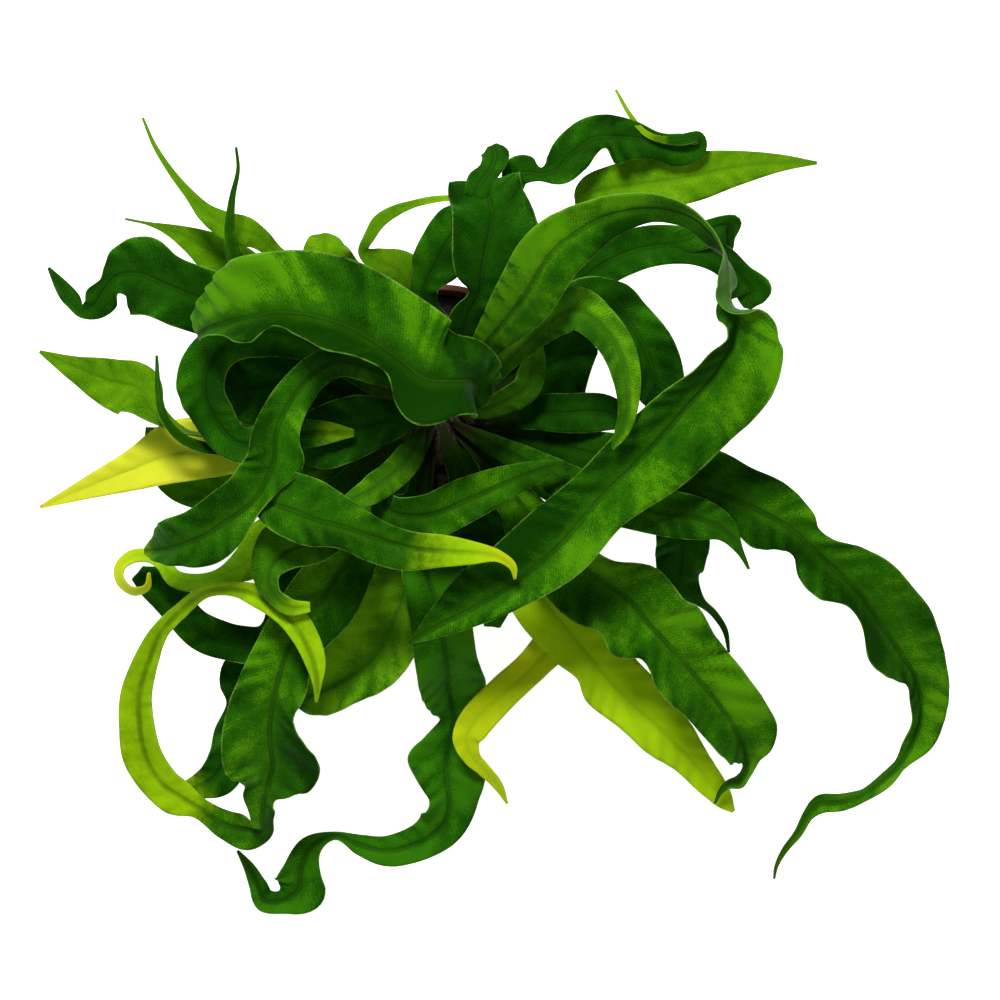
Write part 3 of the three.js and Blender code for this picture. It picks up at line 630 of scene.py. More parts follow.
@dataclass(frozen=True)
class Blade:
    """One ribbon of leaf, folded along its rib: a spine through [x, y, z, width, roll, lean].

    fold is how far each half rises from flat, in degrees, and steps how many rows the solid has.
    roll turns it about its rib, in degrees, and lean moves both margins to the left of the rib as
    the blade runs. Either is 0 where it is left out.
    ripe gives the shares of the length where yellowing starts and ends, and then how far it goes at
    most; lit how much painted light the left half, the right half, the base and the tip get over
    the blade's own green, painted shade where it is below 0; and ruffle the height of the short
    puckers beside the rib, in millimetres.
    """

    fold: float
    wave: Wave
    steps: int
    stations: tuple[Station, ...]
    ripe: tuple[float, float, float] = (2.0, 3.0, 1.0)
    lit: tuple[float, float, float, float] = (0.0, 0.0, 0.0, 0.0)
    ruffle: float = 1.2

    def with_stipe(self, ring: int, turn: float) -> "Blade":
        """Puts the straight stipe that stands in the crown before the first station.

        Args:
            ring: which ring of the crown it grows from.
            turn: where on the ring, in degrees.

        Returns:
            The whole frond's ribbon.
        """
        angle = math.radians(turn)
        x, y = RING_RADII[ring] * math.cos(angle), RING_RADII[ring] * math.sin(angle)
        foot = ((x, y, STIPE_FOOT, STIPE_WIDTH), (x, y, STIPE_TOP, STIPE_WIDTH))
        return replace(self, stations=foot + self.stations)

    def whole(self) -> "Blade":
        """The same ribbon with the roll and the lean written out at every station."""
        return replace(self, stations=tuple((*row, 0.0, 0.0)[:6] for row in self.stations))

    def station_at(self, share: float) -> Station:
        """The spine at a share of its stations, on a centripetal curve through them.

        Args:
            share: from 0 at the base to 1 at the tip.

        Returns:
            Place, width, roll and lean.
        """
        points = self.stations
        last = len(points) - 1
        place = min(max(share, 0.0) * last, last - 1e-9)
        k = int(place)
        u = place - k
        here, there = points[k], points[k + 1]
        prior = points[k - 1] if k > 0 else None
        beyond = points[k + 2] if k + 2 <= last else None
        step = self.knot(here, there)
        before = self.knot(prior, here) if prior else step
        after = self.knot(there, beyond) if beyond else step
        values = []
        for i, (start, stop) in enumerate(zip(here, there)):
            first = prior[i] if prior else 2 * start - stop
            final = beyond[i] if beyond else 2 * stop - start
            slope = (stop - start) / step
            leave = ((start - first) / before - (stop - first) / (before + step) + slope) * step
            enter = (slope - (final - start) / (step + after) + (final - stop) / after) * step
            cubic = 2 * start - 2 * stop + leave + enter
            square = -3 * start + 3 * stop - 2 * leave - enter
            values.append(((cubic * u + square) * u + leave) * u + start)
        return tuple(values)

    @staticmethod
    def knot(first: Station, second: Station) -> float:
        """The knot step between two stations."""
        return max(math.dist(first[:3], second[:3]), 1e-3) ** 0.5

    def rows(self, count: int) -> list[Station]:
        """The spine cut into a number of equal shares."""
        return [self.station_at(j / count) for j in range(count + 1)]

    def headings(self) -> list[Vector]:
        """Finds the way the blade runs over the ground, carried back where it runs upright.

        Returns:
            A flat direction at each of the solid's rows.
        """
        rows = self.rows(self.steps)
        carried = Vector((1.0, 0.0))
        result = [carried] * len(rows)
        for j in range(self.steps, -1, -1):
            before, after = rows[max(j - 1, 0)], rows[min(j + 1, self.steps)]
            run = Vector((after[0] - before[0], after[1] - before[1]))
            if run.length > 0.2 * math.dist(after[:3], before[:3]):
                carried = run.normalized()
            result[j] = carried
        return result


@dataclass(frozen=True)
class Ply:
    """How finely a blade's sheet is divided and how it is moulded, in millimetres and degrees."""

    across: int = 16
    step: float = 2.1
    crowding: float = 1.35
    rib_depth: float = 0.55
    rib_width: float = 1.3
    flank_curl: float = 0.35
    right_phase: float = 0.37
    pucker_pitch: float = 14.0
    pucker_slant: float = 0.9
    stray_length: float = 24.0
    swell_length: float = 40.0
    taut_roll: float = 50.0


@dataclass(frozen=True)
class Frond:
    """One frond: its stipe, its blade and where it has one a second lobe."""

    name: str
    tone: Tone
    ring: int
    turn: float
    blade: Blade
    fork: Blade | None = None
    ply: Ply = Ply()

    def seed(self) -> float:
        """A number of its own, so that no two fronds pucker alike."""
        return int(self.name.split("_")[1]) * SEED_STEP

    def sheet(self, bm: bmesh.types.BMesh, blade: Blade, forked: bool) -> None:
        """Lays a grid along a blade as its middle surface.

        Args:
            bm: the mesh that it joins.
            blade: the ribbon, with its stipe where it has one.
            forked: true for the second lobe, which has no stipe.
        """
        length = travelled_along(blade.rows(LENGTH_STEPS))[-1]
        rows = max(2 * blade.steps, int(length / self.ply.step))
        made = bmesh.ops.create_grid(bm, x_segments=self.ply.across, y_segments=rows, size=1.0)
        headings = blade.headings()
        spine = blade.rows(rows)
        travelled = travelled_along(spine)
        layers = {key: bm.verts.layers.float[key] for key in ("edge", "ripe", "painted_light")}
        marks = bm.verts.layers.float_vector["blade"]
        wall = bm.verts.layers.deform.active
        frames = [self.frame_at(spine, j, headings, blade.steps) for j in range(rows + 1)]
        for vert in made["verts"]:
            j = round((vert.co.y + 1.0) / 2.0 * rows)
            t = -vert.co.x
            v = math.copysign(abs(t) ** self.ply.crowding, t)
            share = j / rows
            width, lean = spine[j][3], spine[j][5]
            side, face = frames[j]
            offset, rise, painted_light = self.profile(blade, v, share, spine[j], travelled[j])
            vert.co = Vector(spine[j][:3]) * MM + side * (offset * MM) + face * (rise * MM)
            across = v * max(width, SPEAR_WIDTH) / 2 + lean * abs(v)
            along = travelled[j] * MM + (FORK_SHIFT if forked else 0.0)
            vert[marks] = Vector((across * MM, along, 0.0))
            vert[layers["edge"]] = abs(v)
            vert[layers["painted_light"]] = painted_light
            low, high, most = blade.ripe
            vert[layers["ripe"]] = min(max((share - low) / (high - low), 0.0), most)
            passed = share * (len(blade.stations) - 1) / STIPE_STATIONS
            stem = 0.0 if forked else max(0.0, 1.0 - passed)
            thin = BLADE_THICKNESS + (MARGIN_THICKNESS - BLADE_THICKNESS) * abs(v) ** 3
            vert[wall][0] = (thin + (STIPE_THICKNESS - thin) * stem) / STIPE_THICKNESS

    @staticmethod
    def frame_at(
        spine: list[Station], j: int, headings: list[Vector], steps: int
    ) -> tuple[Vector, Vector]:
        """Directions across the blade and out of its upper face.

        Args:
            spine: the fine rows of the ribbon.
            j: the row.
            headings: flat directions at the frame's own steps.
            steps: how many such steps there are.

        Returns:
            The two directions.
        """
        last = len(spine) - 1
        tangent = Vector(spine[min(j + 1, last)][:3]) - Vector(spine[max(j - 1, 0)][:3])
        tangent.normalize()
        place = j / last * steps
        k = min(int(place), steps - 1)
        heading = headings[k].lerp(headings[k + 1], place - k)
        if heading.length < 1e-3:
            heading = headings[k]
        heading.normalize()
        level = Vector((-heading.y, heading.x, 0.0))
        lift = tangent.cross(level).normalized()
        roll = math.radians(spine[j][4])
        side = (level * math.cos(roll) + lift * math.sin(roll)).normalized()
        return side, tangent.cross(side).normalized()

    def profile(
        self, blade: Blade, v: float, share: float, station: Station, along: float
    ) -> tuple[float, float, float]:
        """The cross-section of a blade at one place.

        Args:
            blade: the ribbon.
            v: from -1 at the right margin to 1 at the left one.
            share: share of the length.
            station: the spine there.
            along: distance from the base.

        Returns:
            Offset across, rise out of the face and the painted light there: lighter on a ruffle's
            crest, darker in its hollow, with the painted light and shade given for the halves and
            ends added.
        """
        wave, ply = blade.wave, self.ply
        width, roll, lean = station[3:]
        edge = abs(v)
        half = max(width, SPEAR_WIDTH) / 2
        size = min(1.0, width / FULL_WIDTH)
        phase = wave.phase + (0.0 if v > 0 else ply.right_phase)
        swing = 2 * math.pi * (wave.count * share + phase)
        steep = LEAN_RISE * math.sqrt(2 * width * abs(lean)) * edge if v * lean < 0 else 0.0
        reach = abs(v * half + lean * edge)
        curl = 1.0 + ply.flank_curl - ply.flank_curl * edge
        flank = math.tan(math.radians(blade.fold)) * reach * size * curl + steep
        big = wave.height * size * size * edge * edge * math.sin(swing)
        hand = 1.0 if v > 0 else -1.0
        stray = noise.noise(Vector((along / ply.stray_length, hand * 5.0, self.seed())))
        turns = (along - ply.pucker_slant * edge * half) / ply.pucker_pitch + stray
        strength = Vector((along / ply.swell_length, hand * 3.0, self.seed() + 9.0))
        pucker = math.sin(2 * math.pi * turns) * (0.75 + 0.8 * noise.noise(strength))
        pucker *= max(0.0, 1.0 - abs(roll) / ply.taut_roll)
        small = blade.ruffle * size * edge * (1.3 - 0.3 * edge) * pucker
        groove = ply.rib_depth * size * math.exp(-((v * half / ply.rib_width) ** 2))
        lap = hand * wave.scallop * size * edge * math.cos(swing)
        # Painted light: the ruffle's crests are painted lighter and its hollows darker, and lit
        # adds painted light to each half and end, painted shade where it is below 0.
        painted_light = (math.sin(swing) * min(1.0, wave.height / 2.0) + pucker) * 0.6 * edge * size
        painted_light += blade.lit[0 if v > 0 else 1] * min(1.0, 2.5 * edge)
        painted_light += blade.lit[2] * (1.0 - share) + blade.lit[3] * share
        return v * half + lean * edge + lap, flank + big + small - groove, painted_light

    def build(self, finishes: dict[str, bpy.types.Material]) -> bpy.types.Object:
        """Models the frond and puts it in the frame node's place.

        Args:
            finishes: the leaf materials by name.

        Returns:
            The piece.
        """
        bm = bmesh.new()
        for key in ("edge", "ripe", "painted_light"):
            bm.verts.layers.float.new(key)
        bm.verts.layers.float_vector.new("blade")
        bm.verts.layers.deform.new()
        self.sheet(bm, self.blade.with_stipe(self.ring, self.turn).whole(), False)
        if self.fork:
            self.sheet(bm, self.fork.whole(), True)
        piece = piece_from(bm, "leaf_" + self.name)
        piece.vertex_groups.new(name="wall")
        for finish in (self.tone.value, self.tone.value + "_back", "leaf_margin"):
            piece.data.materials.append(finishes[finish])
        skin = piece.modifiers.new("skin", "SOLIDIFY")
        skin.thickness = STIPE_THICKNESS * MM
        skin.offset = 0.0
        skin.vertex_group = "wall"
        skin.thickness_vertex_group = 0.0
        skin.material_offset = 1
        skin.material_offset_rim = 2
        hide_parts(self.name)
        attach(piece, BODY)
        return piece


def travelled_along(spine: list[Station]) -> list[float]:
    """Measures how far along a ribbon each of its rows lies.

    Args:
        spine: the rows.

    Returns:
        The distance of each from the first, in millimetres.
    """
    travelled = [0.0]
    for before, after in zip(spine, spine[1:]):
        travelled.append(travelled[-1] + math.dist(before[:3], after[:3]))
    return travelled


def piece_from(bm: bmesh.types.BMesh, name: str) -> bpy.types.Object:
    """Makes a shown object of a mesh, with its place in its vertices.

    Args:
        bm: the mesh, which is freed.
        name: the piece's name.

    Returns:
        The object.
    """
    mesh = bpy.data.meshes.new(name)
    for face in bm.faces:
        face.smooth = True
    bm.to_mesh(mesh)
    bm.free()
    piece = bpy.data.objects.new(name, mesh)
    bpy.context.scene.collection.objects.link(piece)
    return piece


# In each frond, lit lays painted light on the halves and ends of its blade, painted shade where a
# number is below 0.
FRONDS = (
    Frond("frond_01_spiral", Tone.MID, 0, 45, Blade(8, Wave(2.0, 5, 0.1, 0), 37, (
        (14, 17, 150, 9), (27, 34, 196, 18), (43, 54, 232, 30, 5), (57.5, 76.5, 254, 32, 5),
        (71, 87, 260, 29, 12), (84, 94, 264, 26, 30), (109, 98, 266, 19, 56, 3),
        (128, 93, 264, 20, 77, 1.5), (142, 77, 260, 22, 85), (145, 62, 256, 18, 116),
        (145, 54, 253, 19, 110), (147, 48.5, 250, 23, 60, 3), (149, 45, 248, 24, 25, 6.5),
        (148.5, 38, 244, 25.5, 15, 11.7), (147.5, 31, 241, 32, 10, 12),
        (144.5, 25, 238, 37, 6, 11.5), (137, 13, 231, 39, 2, 9.5), (127, 2, 224, 41, 0, 7),
        (106, -22, 214, 42, 0, 3.5), (81, -47, 203, 34.5, 0, 0.3), (61, -70, 194, 39, 0, -2.5),
        (41, -87, 185, 34, 0, -4), (21, -100, 177, 28, 0, -4.7), (1, -110, 170, 15, 0, -1.5),
        (-14, -119, 163, 1.6),
    ), lit=(0.5, -0.75, 0.75, -0.1))),
    Frond("frond_02_broad_wavy", Tone.MID, 0, 315, Blade(10, Wave(3.0, 3.5, 0.1, 0), 32, (
        (10, 0, 135, 8), (17, 5, 170, 15), (20, 9, 202, 26), (15, 12, 224, 38, 0, -2),
        (7, 12, 233, 41, 0, -3.5), (-6, 13, 238, 54, 0, -4), (-20, 23, 240, 41, 0, -11),
        (-34, 33, 241, 42, 0, -10), (-50, 41, 240, 47, 0, -8.5), (-66, 45, 238, 43, 0, -10.5),
        (-80, 46, 234, 37, 0, -12), (-93, 44, 228, 42, 0, -8.5), (-105, 41, 219, 27, 0, -9),
        (-115, 38, 208, 17, 0, -5.5), (-120, 35, 196, 8, 0, -1),
    ), lit=(-0.5, 1.15, -2.3, 0.4), ruffle=1.8)),
    Frond("frond_03_forked", Tone.MID, 0, 135, Blade(10, Wave(2.0, 4, 0.4, 0), 28, (
        (-14, 10, 140, 8), (-32, 18, 174, 15), (-50, 22, 196, 16), (-62, 16, 204, 17),
        (-71, 6, 206, 19), (-77, -4, 206, 21), (-81, -15, 205, 24), (-82, -28, 203, 29, 0, 0.5),
        (-86, -38, 202, 24, 0, -3.5), (-92, -48, 200, 22.5, 0, -5.2),
        (-104, -57, 195, 29, 0, -1.5), (-118, -66, 188, 30), (-131, -71, 178, 24, 0, -2.7),
        (-140, -73, 168, 15, 0, -2.7), (-147, -73, 160, 3),
    ), ripe=(0.9, 1.4, 1.0), lit=(0.3, -0.3, 0.0, 0.0)), fork=Blade(8, Wave(1.5, 3, 0.2, 0), 20, (
        (-93, -47, 198.5, 8), (-88, -48, 199.5, 18, 0, 1), (-81, -50, 201, 29, 0, 3),
        (-72, -53, 203, 33, 0, 2.5), (-62, -57, 202, 33, 0, 2.5), (-47, -61, 202, 25, 0, 1.5),
        (-32, -66, 201, 22, 0, -1.5), (-15, -71, 202, 20, 0, -2), (2, -73, 203, 16.5),
        (18, -74, 204, 11.5), (30, -76, 203, 6, 0, 0.5), (37, -81, 201, 4, 0, 0.5),
        (38.5, -87, 198, 1.4),
    ), ripe=(0.55, 0.95, 1.0), lit=(0.3, -0.3, -0.3, 0.0))),
    Frond("frond_04_bowl", Tone.DEEP, 1, 172, Blade(16, Wave(1.5, 5, 0.3, 0.8), 26, (
        (-28, 8, 128, 9), (-56, 26, 152, 16), (-84, 36, 168, 22), (-107, 30, 172, 23, 8),
        (-117, 12, 168, 24, 12, -1), (-112, -6, 160, 22, 10), (-100, -19, 158, 18, 5),
        (-84, -18, 166, 16), (-68, -14, 173, 15), (-55, -14, 176, 11), (-42, -14, 177, 4),
    ), ripe=(0.8, 1.6, 1.0), lit=(0.4, 0.4, 0.0, 0.0))),
    Frond("frond_05_bowl_floor", Tone.DEEP, 2, 169, Blade(12, Wave(2.5, 4, 0, 1), 14, (
        (-34, 4, 116, 12), (-56, 10, 134, 28), (-78, 12, 142, 40), (-98, 8, 138, 36),
        (-112, 6, 132, 14),
    ))),
    Frond("frond_06_loop", Tone.MID, 2, 236, Blade(9, Wave(2.0, 6, 0.2, 0), 44, (
        (-20, -36, 126, 10), (-38, -66, 148, 24), (-58, -96, 152, 36, 0, 1),
        (-75, -122, 146, 30, 0, -1), (-80, -138, 142, 34, 0, -2),
        (-83.5, -153, 134, 33.5, 0, -5.2), (-84.5, -168, 126, 42.5, 0, -3.2),
        (-83, -180, 117, 48, 0, -0.2), (-84.5, -187.5, 111, 38, 0, 1.8),
        (-86, -194, 107, 18, 0, -2.6), (-87.5, -198, 104.5, 16, 0, -2.8),
        (-88, -203, 101, 14, 0, -0.8), (-88.5, -208, 97, 11.5), (-88, -213, 91, 11, -25),
        (-95, -213, 85, 18, -15, 1.5), (-107.5, -210.5, 82, 14.5), (-120, -202.5, 82, 11),
        (-130, -196.5, 84, 18.5, 0, 1.2), (-139.5, -189.5, 88, 19, 0, 0.5),
        (-147.3, -175.5, 93, 20, 0, 1.5), (-150, -160, 100, 18, 0, 1.5),
        (-150, -145, 108, 16, 0, 1.5), (-144.5, -127, 122, 12.5, 0, 1.5),
        (-138.5, -113.5, 133, 9, 10, 1), (-128, -102, 144, 8, 20), (-117, -93.5, 154, 7, 25),
        (-103, -92, 162, 7.5, 15), (-89.5, -95.8, 168, 12), (-76.5, -105, 171, 14, 0, 1.5),
        (-67.5, -117, 171, 13, 0, 1.5), (-62, -130, 169, 10, 0, 1), (-60.5, -140, 166, 4.5),
        (-61, -149, 162, 1.4),
    ), ripe=(0.5, 0.62, 0.36), lit=(-0.4, 0.6, 0.0, 0.0))),
    Frond("frond_07_right_trail", Tone.MID, 2, 325, Blade(8, Wave(2.5, 7, 0.3, 0), 44, (
        (44, -15, 130, 10), (78, -25, 156, 24), (112, -34, 170, 34), (135, -42, 173, 36, 0, 2),
        (150, -48, 172, 32, 0, 2), (165, -55, 169, 36), (178, -63, 164, 25, 0, 1),
        (184.5, -69, 161, 19), (190, -74, 158, 26, 0, -2.5), (200, -83.5, 152, 33.5, 0, 0.7),
        (209, -92, 146, 31, 0, 6.5), (218, -104, 138, 32.5, 0, 7.7), (226, -116, 130, 40, 0, 5),
        (233, -126, 122, 33.5, 0, 5), (239, -136, 115, 22.5, 0, 5.7), (242, -147, 107, 20, 0, 4.5),
        (242, -158, 101, 16, 0, 4), (239, -168, 96, 14, 10, 3), (233, -179.5, 91, 8, 35),
        (225, -188, 87, 9.5, 40, 0.8), (214, -196, 83, 8, 40), (203, -199.5, 80, 9, 10),
        (192, -200.5, 78, 9.5), (186, -206, 76, 6), (181, -215, 72, 4.5), (174, -224, 67, 3.2),
        (170, -232, 62, 2), (169, -238, 58, 1.2),
    ), lit=(0.4, -0.4, -0.9, 0.9))),
    Frond("frond_08_broad_ruffled", Tone.MID, 2, 304, Blade(8, Wave(3.0, 6, 0, 0), 34, (
        (30, -34, 128, 12), (54, -66, 146, 30, 0, -3), (79, -86, 150, 36, 0, -7),
        (95, -97, 148, 43, 0, -0.5), (106, -110, 144, 45, 0, -1), (111.5, -116, 141, 39, 0, 4.5),
        (123, -129, 134, 40, 0, 1), (136, -144, 124, 37, 0, 1.5), (147, -159, 114, 35, 0, 2.5),
        (153, -171, 105, 28, 0, 4.5), (155, -179, 98, 9, 0, 2), (154.5, -185, 94, 6, 20),
        (151.5, -189, 91, 7, 20), (146, -190.5, 88, 5, 20), (142, -194, 85, 3),
        (139, -200, 82, 1.2),
    ), lit=(0.7, -0.1, 0.4, 0.1), ruffle=2.2)),
    Frond("frond_09_yellow_green", Tone.LIME, 2, 282, Blade(7, Wave(2.0, 5, 0.5, 0.4), 24, (
        (22, -40, 118, 13), (38, -72, 126, 26), (54, -98, 124, 33, 0, -1),
        (70, -118, 118, 32, 0, 0.5), (78, -128, 114, 29, 0, 2.5), (85, -137, 110, 33, 0, 0.5),
        (100, -152, 103, 30, 0, 2), (115, -166, 95, 26), (127, -178, 88, 18.5),
        (137, -190, 81, 14), (144, -199, 76, 9), (148.5, -204, 73, 2),
    ), ripe=(-1.0, 0.0, 0.5), lit=(0.3, 0.3, 0.0, 0.0))),
    Frond("frond_10_yellow_strap", Tone.LIME, 3, 285, Blade(6, Wave(1.2, 3, 0, 0.4), 26, (
        (26, -44, 108, 11), (46, -78, 112, 18), (59, -101, 110, 20), (58, -117, 107, 20),
        (48, -130, 108.5, 17), (32, -145, 112.5, 17), (18, -160, 110, 17), (14, -168, 107, 14),
        (17, -177, 102, 9), (22, -182, 97, 7), (30, -191, 86, 5), (34.5, -200, 78, 1.2),
    ), ripe=(-1.0, 0.0, 0.7), lit=(0.7, 0.7, 0.0, 0.0))),
    Frond("frond_11_bottom_trail", Tone.DEEP, 2, 259, Blade(8, Wave(2.4, 7, 0.25, 0), 42, (
        (-10, -42, 120, 10), (-8, -74, 138, 29, 0, 3.5), (0, -104, 140, 31, 0, 0.5),
        (4, -128, 126, 31.5), (5, -142, 108.5, 32, 0, 3), (7, -151, 101, 24, 0, 1),
        (8, -159, 95, 15, 10), (6, -168, 91, 27, 0, 0.5), (4, -178, 88, 37.5, 0, -0.7),
        (4, -188, 86, 34, 0, 3), (5.5, -198, 83, 25, 0, 2.5), (3, -210, 76, 23.5, 0, -0.7),
        (-7, -218.5, 70, 19, 0, -0.2), (-26, -224, 63, 15.5, 0, 0.2), (-39.5, -221, 61, 10.5, 5),
        (-52, -216.5, 60, 4.4, 20), (-64, -222, 58, 12), (-69, -233, 57, 19, 0, 0.5),
        (-70.5, -243.5, 55, 26.5, 5, 0.5), (-78.5, -249, 52, 12.5, 15, 1.3),
        (-87.5, -249, 53, 12, 10), (-91, -241, 57, 9), (-95.5, -232, 62, 5.5),
        (-101, -224, 66, 1.4),
    ), lit=(0.9, 0.4, 0.8, 0.1))),
    Frond("frond_12_yellow_curl", Tone.LIME, 2, 213, Blade(6, Wave(1.0, 3, 0, 0), 32, (
        (-36, -28, 116, 8), (-66, -56, 128, 16), (-84, -70, 130, 24, 0, -2), (-97, -80, 129, 17),
        (-110, -86, 126, 8), (-122, -89, 124, 9), (-132, -87, 121, 9, 10), (-138, -80, 119, 8, 30),
        (-144, -76, 118, 8, 40), (-153, -76, 118, 10, 50), (-159, -81, 120, 10, 55),
        (-159, -88, 124, 9, 60), (-153, -93, 128, 8, 60), (-146, -91, 131, 5, 50),
        (-145, -84, 133, 1.6, 40),
    ), ripe=(0.45, 0.85, 1.0))),
    Frond("frond_13_hook", Tone.FRESH, 1, 200, Blade(14, Wave(0.8, 3, 0, 0), 22, (
        (-24, -28, 134, 9), (-44, -56, 158, 18), (-62, -68, 172, 22), (-77, -74, 178, 27, 15, -2),
        (-85, -84, 180, 17, 30), (-82, -95, 181, 11, 40), (-74, -101, 180, 9, 20),
        (-64, -101, 178, 5),
    ), ripe=(0.75, 1.3, 0.5))),
    Frond("frond_14_yellow_dart", Tone.YELLOW, 3, 192, Blade(9, Wave(0.8, 2, 0, 0.3), 18, (
        (-50, -13, 104, 12), (-80, -18, 110, 23), (-106, -20, 112, 29),
        (-132, -24, 111, 31, 0, -0.7), (-153, -32, 108, 20.5, 0, 0.8),
        (-176, -41, 102, 11, 0, 0.5), (-200, -51, 94, 1.6),
    ), ripe=(0.0, 0.75, 0.95))),
    Frond("frond_15_green_dart", Tone.LIME, 3, 176, Blade(9, Wave(1.0, 3, 0, 0.5), 22, (
        (-50, 0, 106, 8), (-80, -6, 120, 9, 20), (-106, -14, 130, 8, 50), (-125, -14, 133, 7, 70),
        (-141.5, -4, 134, 13, 42, 1.5), (-150, 8, 132, 28, 12, 2), (-165, 12, 128, 24.5, 0, 0.8),
        (-182, 19, 122, 12.5, 0, 0.8), (-200, 27, 114, 1.6),
    ))),
    Frond("frond_16_thin_spike", Tone.MID, 2, 191, Blade(5, Wave(0.4, 2, 0, 0), 14, (
        (-44, -6, 120, 7), (-76, -14, 138, 8), (-106, -22, 144, 6), (-126, -18, 148, 5.5, 20),
        (-137, -7, 150, 5, 30), (-140, 6, 152, 3.4), (-141, 25, 152, 1.4),
    ))),
    Frond("frond_17_light_spike", Tone.LIME, 2, 130, Blade(8, Wave(0.8, 3, 0, 0), 20, (
        (-30, 36, 116, 9), (-52, 56, 138, 11), (-68, 67, 147, 10), (-80, 75, 152, 8),
        (-89, 83, 157, 11), (-97, 87, 160, 15), (-108, 91, 160, 13), (-117, 97, 160, 9),
        (-124, 105, 159, 5.5), (-133, 116, 157, 3.6), (-142, 130, 154, 2.4), (-148, 144, 150, 1.3),
    ))),
    Frond("frond_18_lime_point", Tone.LIME, 3, 146, Blade(8, Wave(0.8, 3, 0, 0), 18, (
        (-40, 27, 104, 9), (-68, 47, 108, 14), (-94, 66, 119, 20), (-112, 76, 126, 21),
        (-124, 83, 129, 13), (-135, 88, 128, 6), (-145, 91, 125, 2), (-157, 93.5, 122, 1.2),
    ))),
    Frond("frond_19_dark_spike", Tone.MID, 2, 150, Blade(10, Wave(0.5, 2, 0, 0), 14, (
        (-36, 22, 124, 8), (-62, 38, 150, 10), (-86, 54, 166, 10), (-100, 70, 174, 9),
        (-104, 86, 180, 6), (-103, 103, 184, 3.4), (-100, 118, 186, 2), (-101, 129, 186, 1.4),
    ))),
    Frond("frond_20_twisted_tail", Tone.DEEP, 3, 161, Blade(10, Wave(2.0, 5, 0.3, 0.5), 31, (
        (-46, 16, 106, 10), (-76, 30, 118, 22), (-102, 46, 136, 32), (-127, 56.5, 147, 33, 0, 1),
        (-138, 61, 148, 34, 0, 1), (-149, 65.5, 148, 40, 0, 1.2), (-159, 65.5, 144, 26, 0, 1),
        (-165, 61, 141, 12, 0, 1), (-169.5, 54.5, 137, 17, 0, 1.5), (-173, 49.5, 134, 12, 0, 1),
        (-179.5, 47.5, 131, 7, 20), (-184, 53, 128, 9, 20), (-189, 60, 124, 7),
        (-195.5, 69, 120, 1.6),
    ))),
    Frond("frond_21_hump", Tone.LIME, 2, 108, Blade(8, Wave(1.2, 3, 0, 0.2), 15, (
        (-16, 38, 126, 9), (-34, 54, 154, 18), (-50, 66, 174, 23), (-56, 75, 182, 23.5),
        (-56.5, 80.5, 181, 19.5), (-56, 84, 179.5, 13), (-55.8, 86, 178.5, 3),
    ))),
    Frond("frond_22_thin_arc", Tone.LIME, 3, 115, Blade(7, Wave(0.4, 2, 0, 0), 23, (
        (-14, 46, 116, 10), (-15, 57, 136, 20), (-20, 67, 144, 23), (-30, 72, 151, 14, 15),
        (-37.5, 77, 159, 6, 25), (-34, 85, 164, 6, 10), (-29.5, 92, 165, 7), (-22, 97, 166, 6),
        (-12, 100.8, 166, 4), (-2, 103, 166, 3.6), (9, 104, 166, 2.5),
    ), ripe=(0.8, 1.3, 1.0))),
    Frond("frond_23_dark_left", Tone.DEEP, 2, 86, Blade(8, Wave(1.6, 3, 0.2, 0.5), 16, (
        (4, 38, 122, 9), (-5, 48, 140, 12), (-7.5, 56, 148, 14), (-5.5, 62, 152, 15, 0, 0.5),
        (-1, 70, 157, 25), (3, 79, 162, 26), (11, 90, 166, 24), (20, 99, 168, 10),
    ), lit=(0.3, 0.3, 0.0, 0.0))),
    Frond("frond_24_top_trail", Tone.DEEP, 2, 64, Blade(7, Wave(1.4, 5, 0, 0), 38, (
        (24, 42, 116, 9), (31, 68, 134, 14), (35, 92, 146, 13), (37, 108, 154, 11),
        (41, 115.5, 157, 15, 0, 2), (46, 116.5, 158, 13.5, 0, 1.5), (51.5, 115.5, 160, 7),
        (59, 117.5, 160, 16), (67, 126, 160, 21), (76, 133, 159, 19, 0, 1.5),
        (84, 134.5, 158, 17.5, 0, 2.5), (89, 134.5, 158, 24, 0, -1.5), (97, 134, 157, 20, 0, -1.5),
        (109, 131.5, 154, 14, 0, -1.5), (121, 128, 151, 17, 10), (129.5, 129.5, 151, 11, 20),
        (130, 134, 154, 7, 30), (122, 133, 157, 6, 20), (112, 133, 159, 3.6, 10),
        (103.5, 136.5, 160, 3), (96, 145.5, 160, 2.4), (89, 158, 158, 1.4),
    ), ripe=(0.84, 1.02, 0.42))),
    Frond("frond_25_light_dart", Tone.LIME, 3, 52, Blade(8, Wave(0.9, 3, 0, 0.3), 20, (
        (34, 40, 105, 9), (54, 64, 114, 11), (69, 86, 126, 10), (73, 99, 134, 9.5),
        (76, 105.5, 138, 17.5), (91, 109, 141, 24), (125, 114, 140, 26), (149, 119, 138, 18),
        (171, 121.5, 135, 9), (190, 121.5, 134, 1.6),
    ))),
    Frond("frond_26_right_dark", Tone.DEEP, 3, 34, Blade(8, Wave(1.6, 4, 0.1, 0.4), 24, (
        (46, 32, 112, 9), (64, 52, 138, 16), (80, 69, 154, 21), (104, 79, 162, 21),
        (128, 79, 162, 18), (142, 73, 159, 15), (151, 65, 156, 15, 0, -1),
        (157.5, 57, 152, 22, 0, -1.5), (156, 52.5, 150, 12, 0, -1), (155, 48.5, 148, 4),
    )), fork=Blade(8, Wave(0.5, 2, 0, 0), 10, (
        (108, 80, 162, 8), (126, 84, 163, 13, 0, -1), (136, 88, 164, 14, 0, -2),
        (142, 90, 163, 15, 5, -2.5), (146, 90, 160, 15, 10, -1.2), (147.3, 85, 156, 7, 0, -2),
